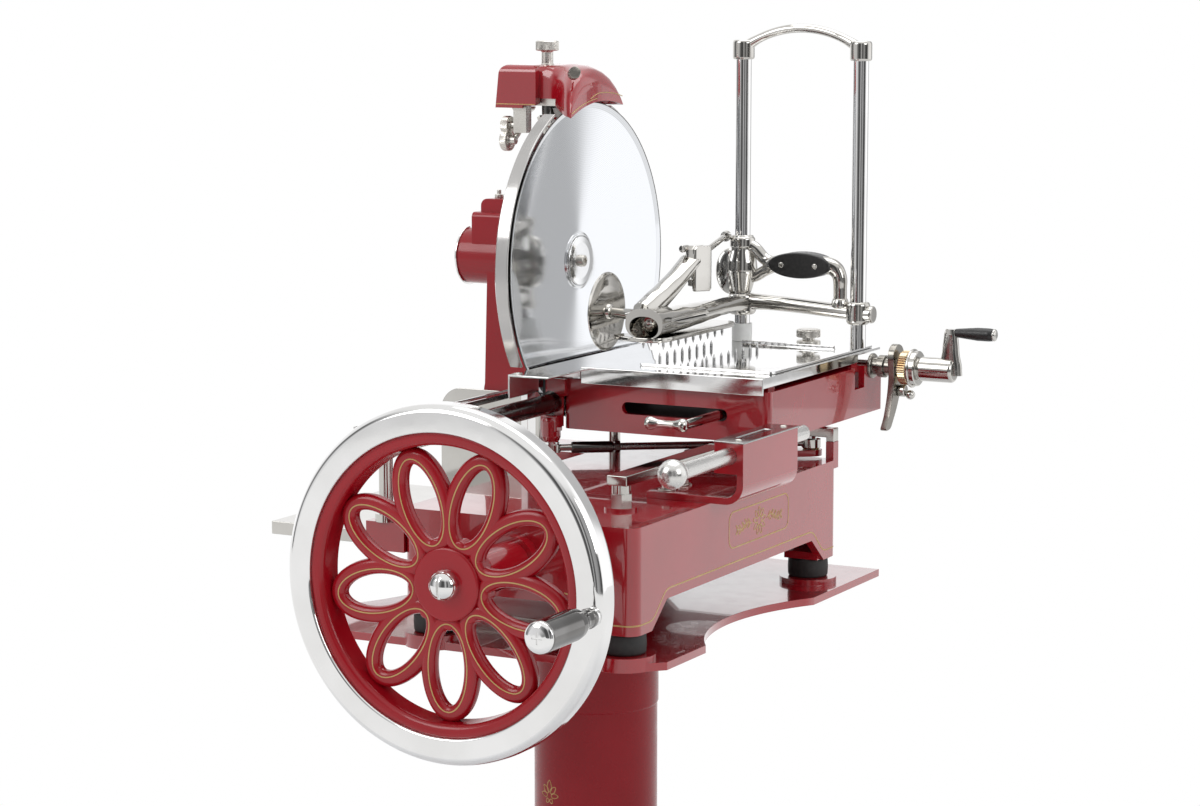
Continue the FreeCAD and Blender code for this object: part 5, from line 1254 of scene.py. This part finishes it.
def stage():
    mesh = bpy.data.meshes.new("studio_floor")
    mesh.from_pydata([(FLOOR_RADIUS * cos(t), FLOOR_RADIUS * sin(t),
        0) for t in turns(FLOOR_SIDES)], [], [tuple(range(FLOOR_SIDES))])
    mesh.materials.append(shade_floor())
    floor = add_object("studio_floor", mesh)
    floor.location.z = -FLOOR_DROP


def world_light():
    world = bpy.data.worlds.new("studio")
    bpy.context.scene.world = world
    world.use_nodes = True
    tree = world.node_tree
    tree.nodes.clear()
    white = add_node(tree, "Background", {"Color": (1, 1, 1, 1), "Strength": 1})
    soft = add_node(tree, "Background", {"Color": (0.93, 0.96, 1, 1), "Strength": 0.55})
    place = add_node(tree, "TexCoord")
    split = add_node(tree, "SeparateXYZ", None, {"Vector": place.outputs["Generated"]})
    azimuth = add_node(tree, "Math", None, {0: split.outputs["X"], 1: split.outputs["Y"]})
    azimuth.operation = "ARCTAN2"
    around = add_node(tree, "MapRange", {"From Min": -pi, "From Max": pi},
        {"Value": azimuth.outputs["Value"]})
    ramp = add_node(tree, "ValToRGB", None, {"Fac": around.outputs["Result"]})
    stops = ramp.color_ramp.elements
    while len(stops) < len(STUDIO):
        stops.new(0.5)
    for n, (degrees, level) in enumerate(STUDIO):
        stops[n].position = (degrees + 180) / 360
        stops[n].color = (level / 2, level / 2, level / 2 * 1.01, 1)
    high = add_node(tree, "MapRange", {"From Min": 0.45, "From Max": 0.75},
        {"Value": split.outputs["Z"]})
    high.interpolation_type = "SMOOTHSTEP"
    overhead = add_node(tree, "MixRGB", {"Color2": (0.5, 0.5, 0.5, 1)},
        {"Fac": high.outputs["Result"], "Color1": ramp.outputs["Color"]})
    studio = add_node(tree, "Background", {"Strength": 2}, {"Color": overhead.outputs["Color"]})
    # reflections see the studio, other light is soft, and the camera sees plain white
    ray = add_node(tree, "LightPath")
    glossy = add_node(tree, "Math", None,
        {0: ray.outputs["Is Glossy Ray"], 1: ray.outputs["Is Transmission Ray"]})
    glossy.operation = "MAXIMUM"
    lit = add_node(tree, "MixShader", None, {"Fac": glossy.outputs["Value"],
        1: soft.outputs["Background"], 2: studio.outputs["Background"]})
    seen = add_node(tree, "MixShader", None, {"Fac": ray.outputs["Is Camera Ray"],
        1: lit.outputs["Shader"], 2: white.outputs["Background"]})
    add_node(tree, "OutputWorld", None, {"Surface": seen.outputs["Shader"]})


def lamp(name, place, size, power):
    data = bpy.data.lights.new(name, "AREA")
    data.shape = "RECTANGLE"
    data.size = data.size_y = size
    data.energy = power
    light = add_object(name, data)
    light.location = place
    light.rotation_euler = (LAMP_TARGET - V(place)).to_track_quat("-Z", "Y").to_euler()


def camera():
    data = bpy.data.cameras.new("camera")
    data.lens = CAMERA_LENS
    data.sensor_width = 36
    data.clip_start = 0.05
    data.clip_end = 60
    view = add_object("camera", data)
    view.location = CAMERA_PLACE
    turn = radians(CAMERA_TURN)
    dip = radians(CAMERA_DIP)
    way = V((-sin(turn) * cos(dip), cos(turn) * cos(dip), -sin(dip)))
    view.rotation_euler = way.to_track_quat("-Z", "Y").to_euler()
    bpy.context.scene.camera = view


stage()
world_light()
lamp("key_lamp", (-1.6, -2.6, 3), 1.8, 38)
lamp("side_lamp", (2.8, -0.6, 2.2), 1.4, 22)
lamp("top_lamp", (0, 0.6, 3.4), 2.2, 30)
camera()
bpy.context.scene.view_settings.view_transform = "Standard"
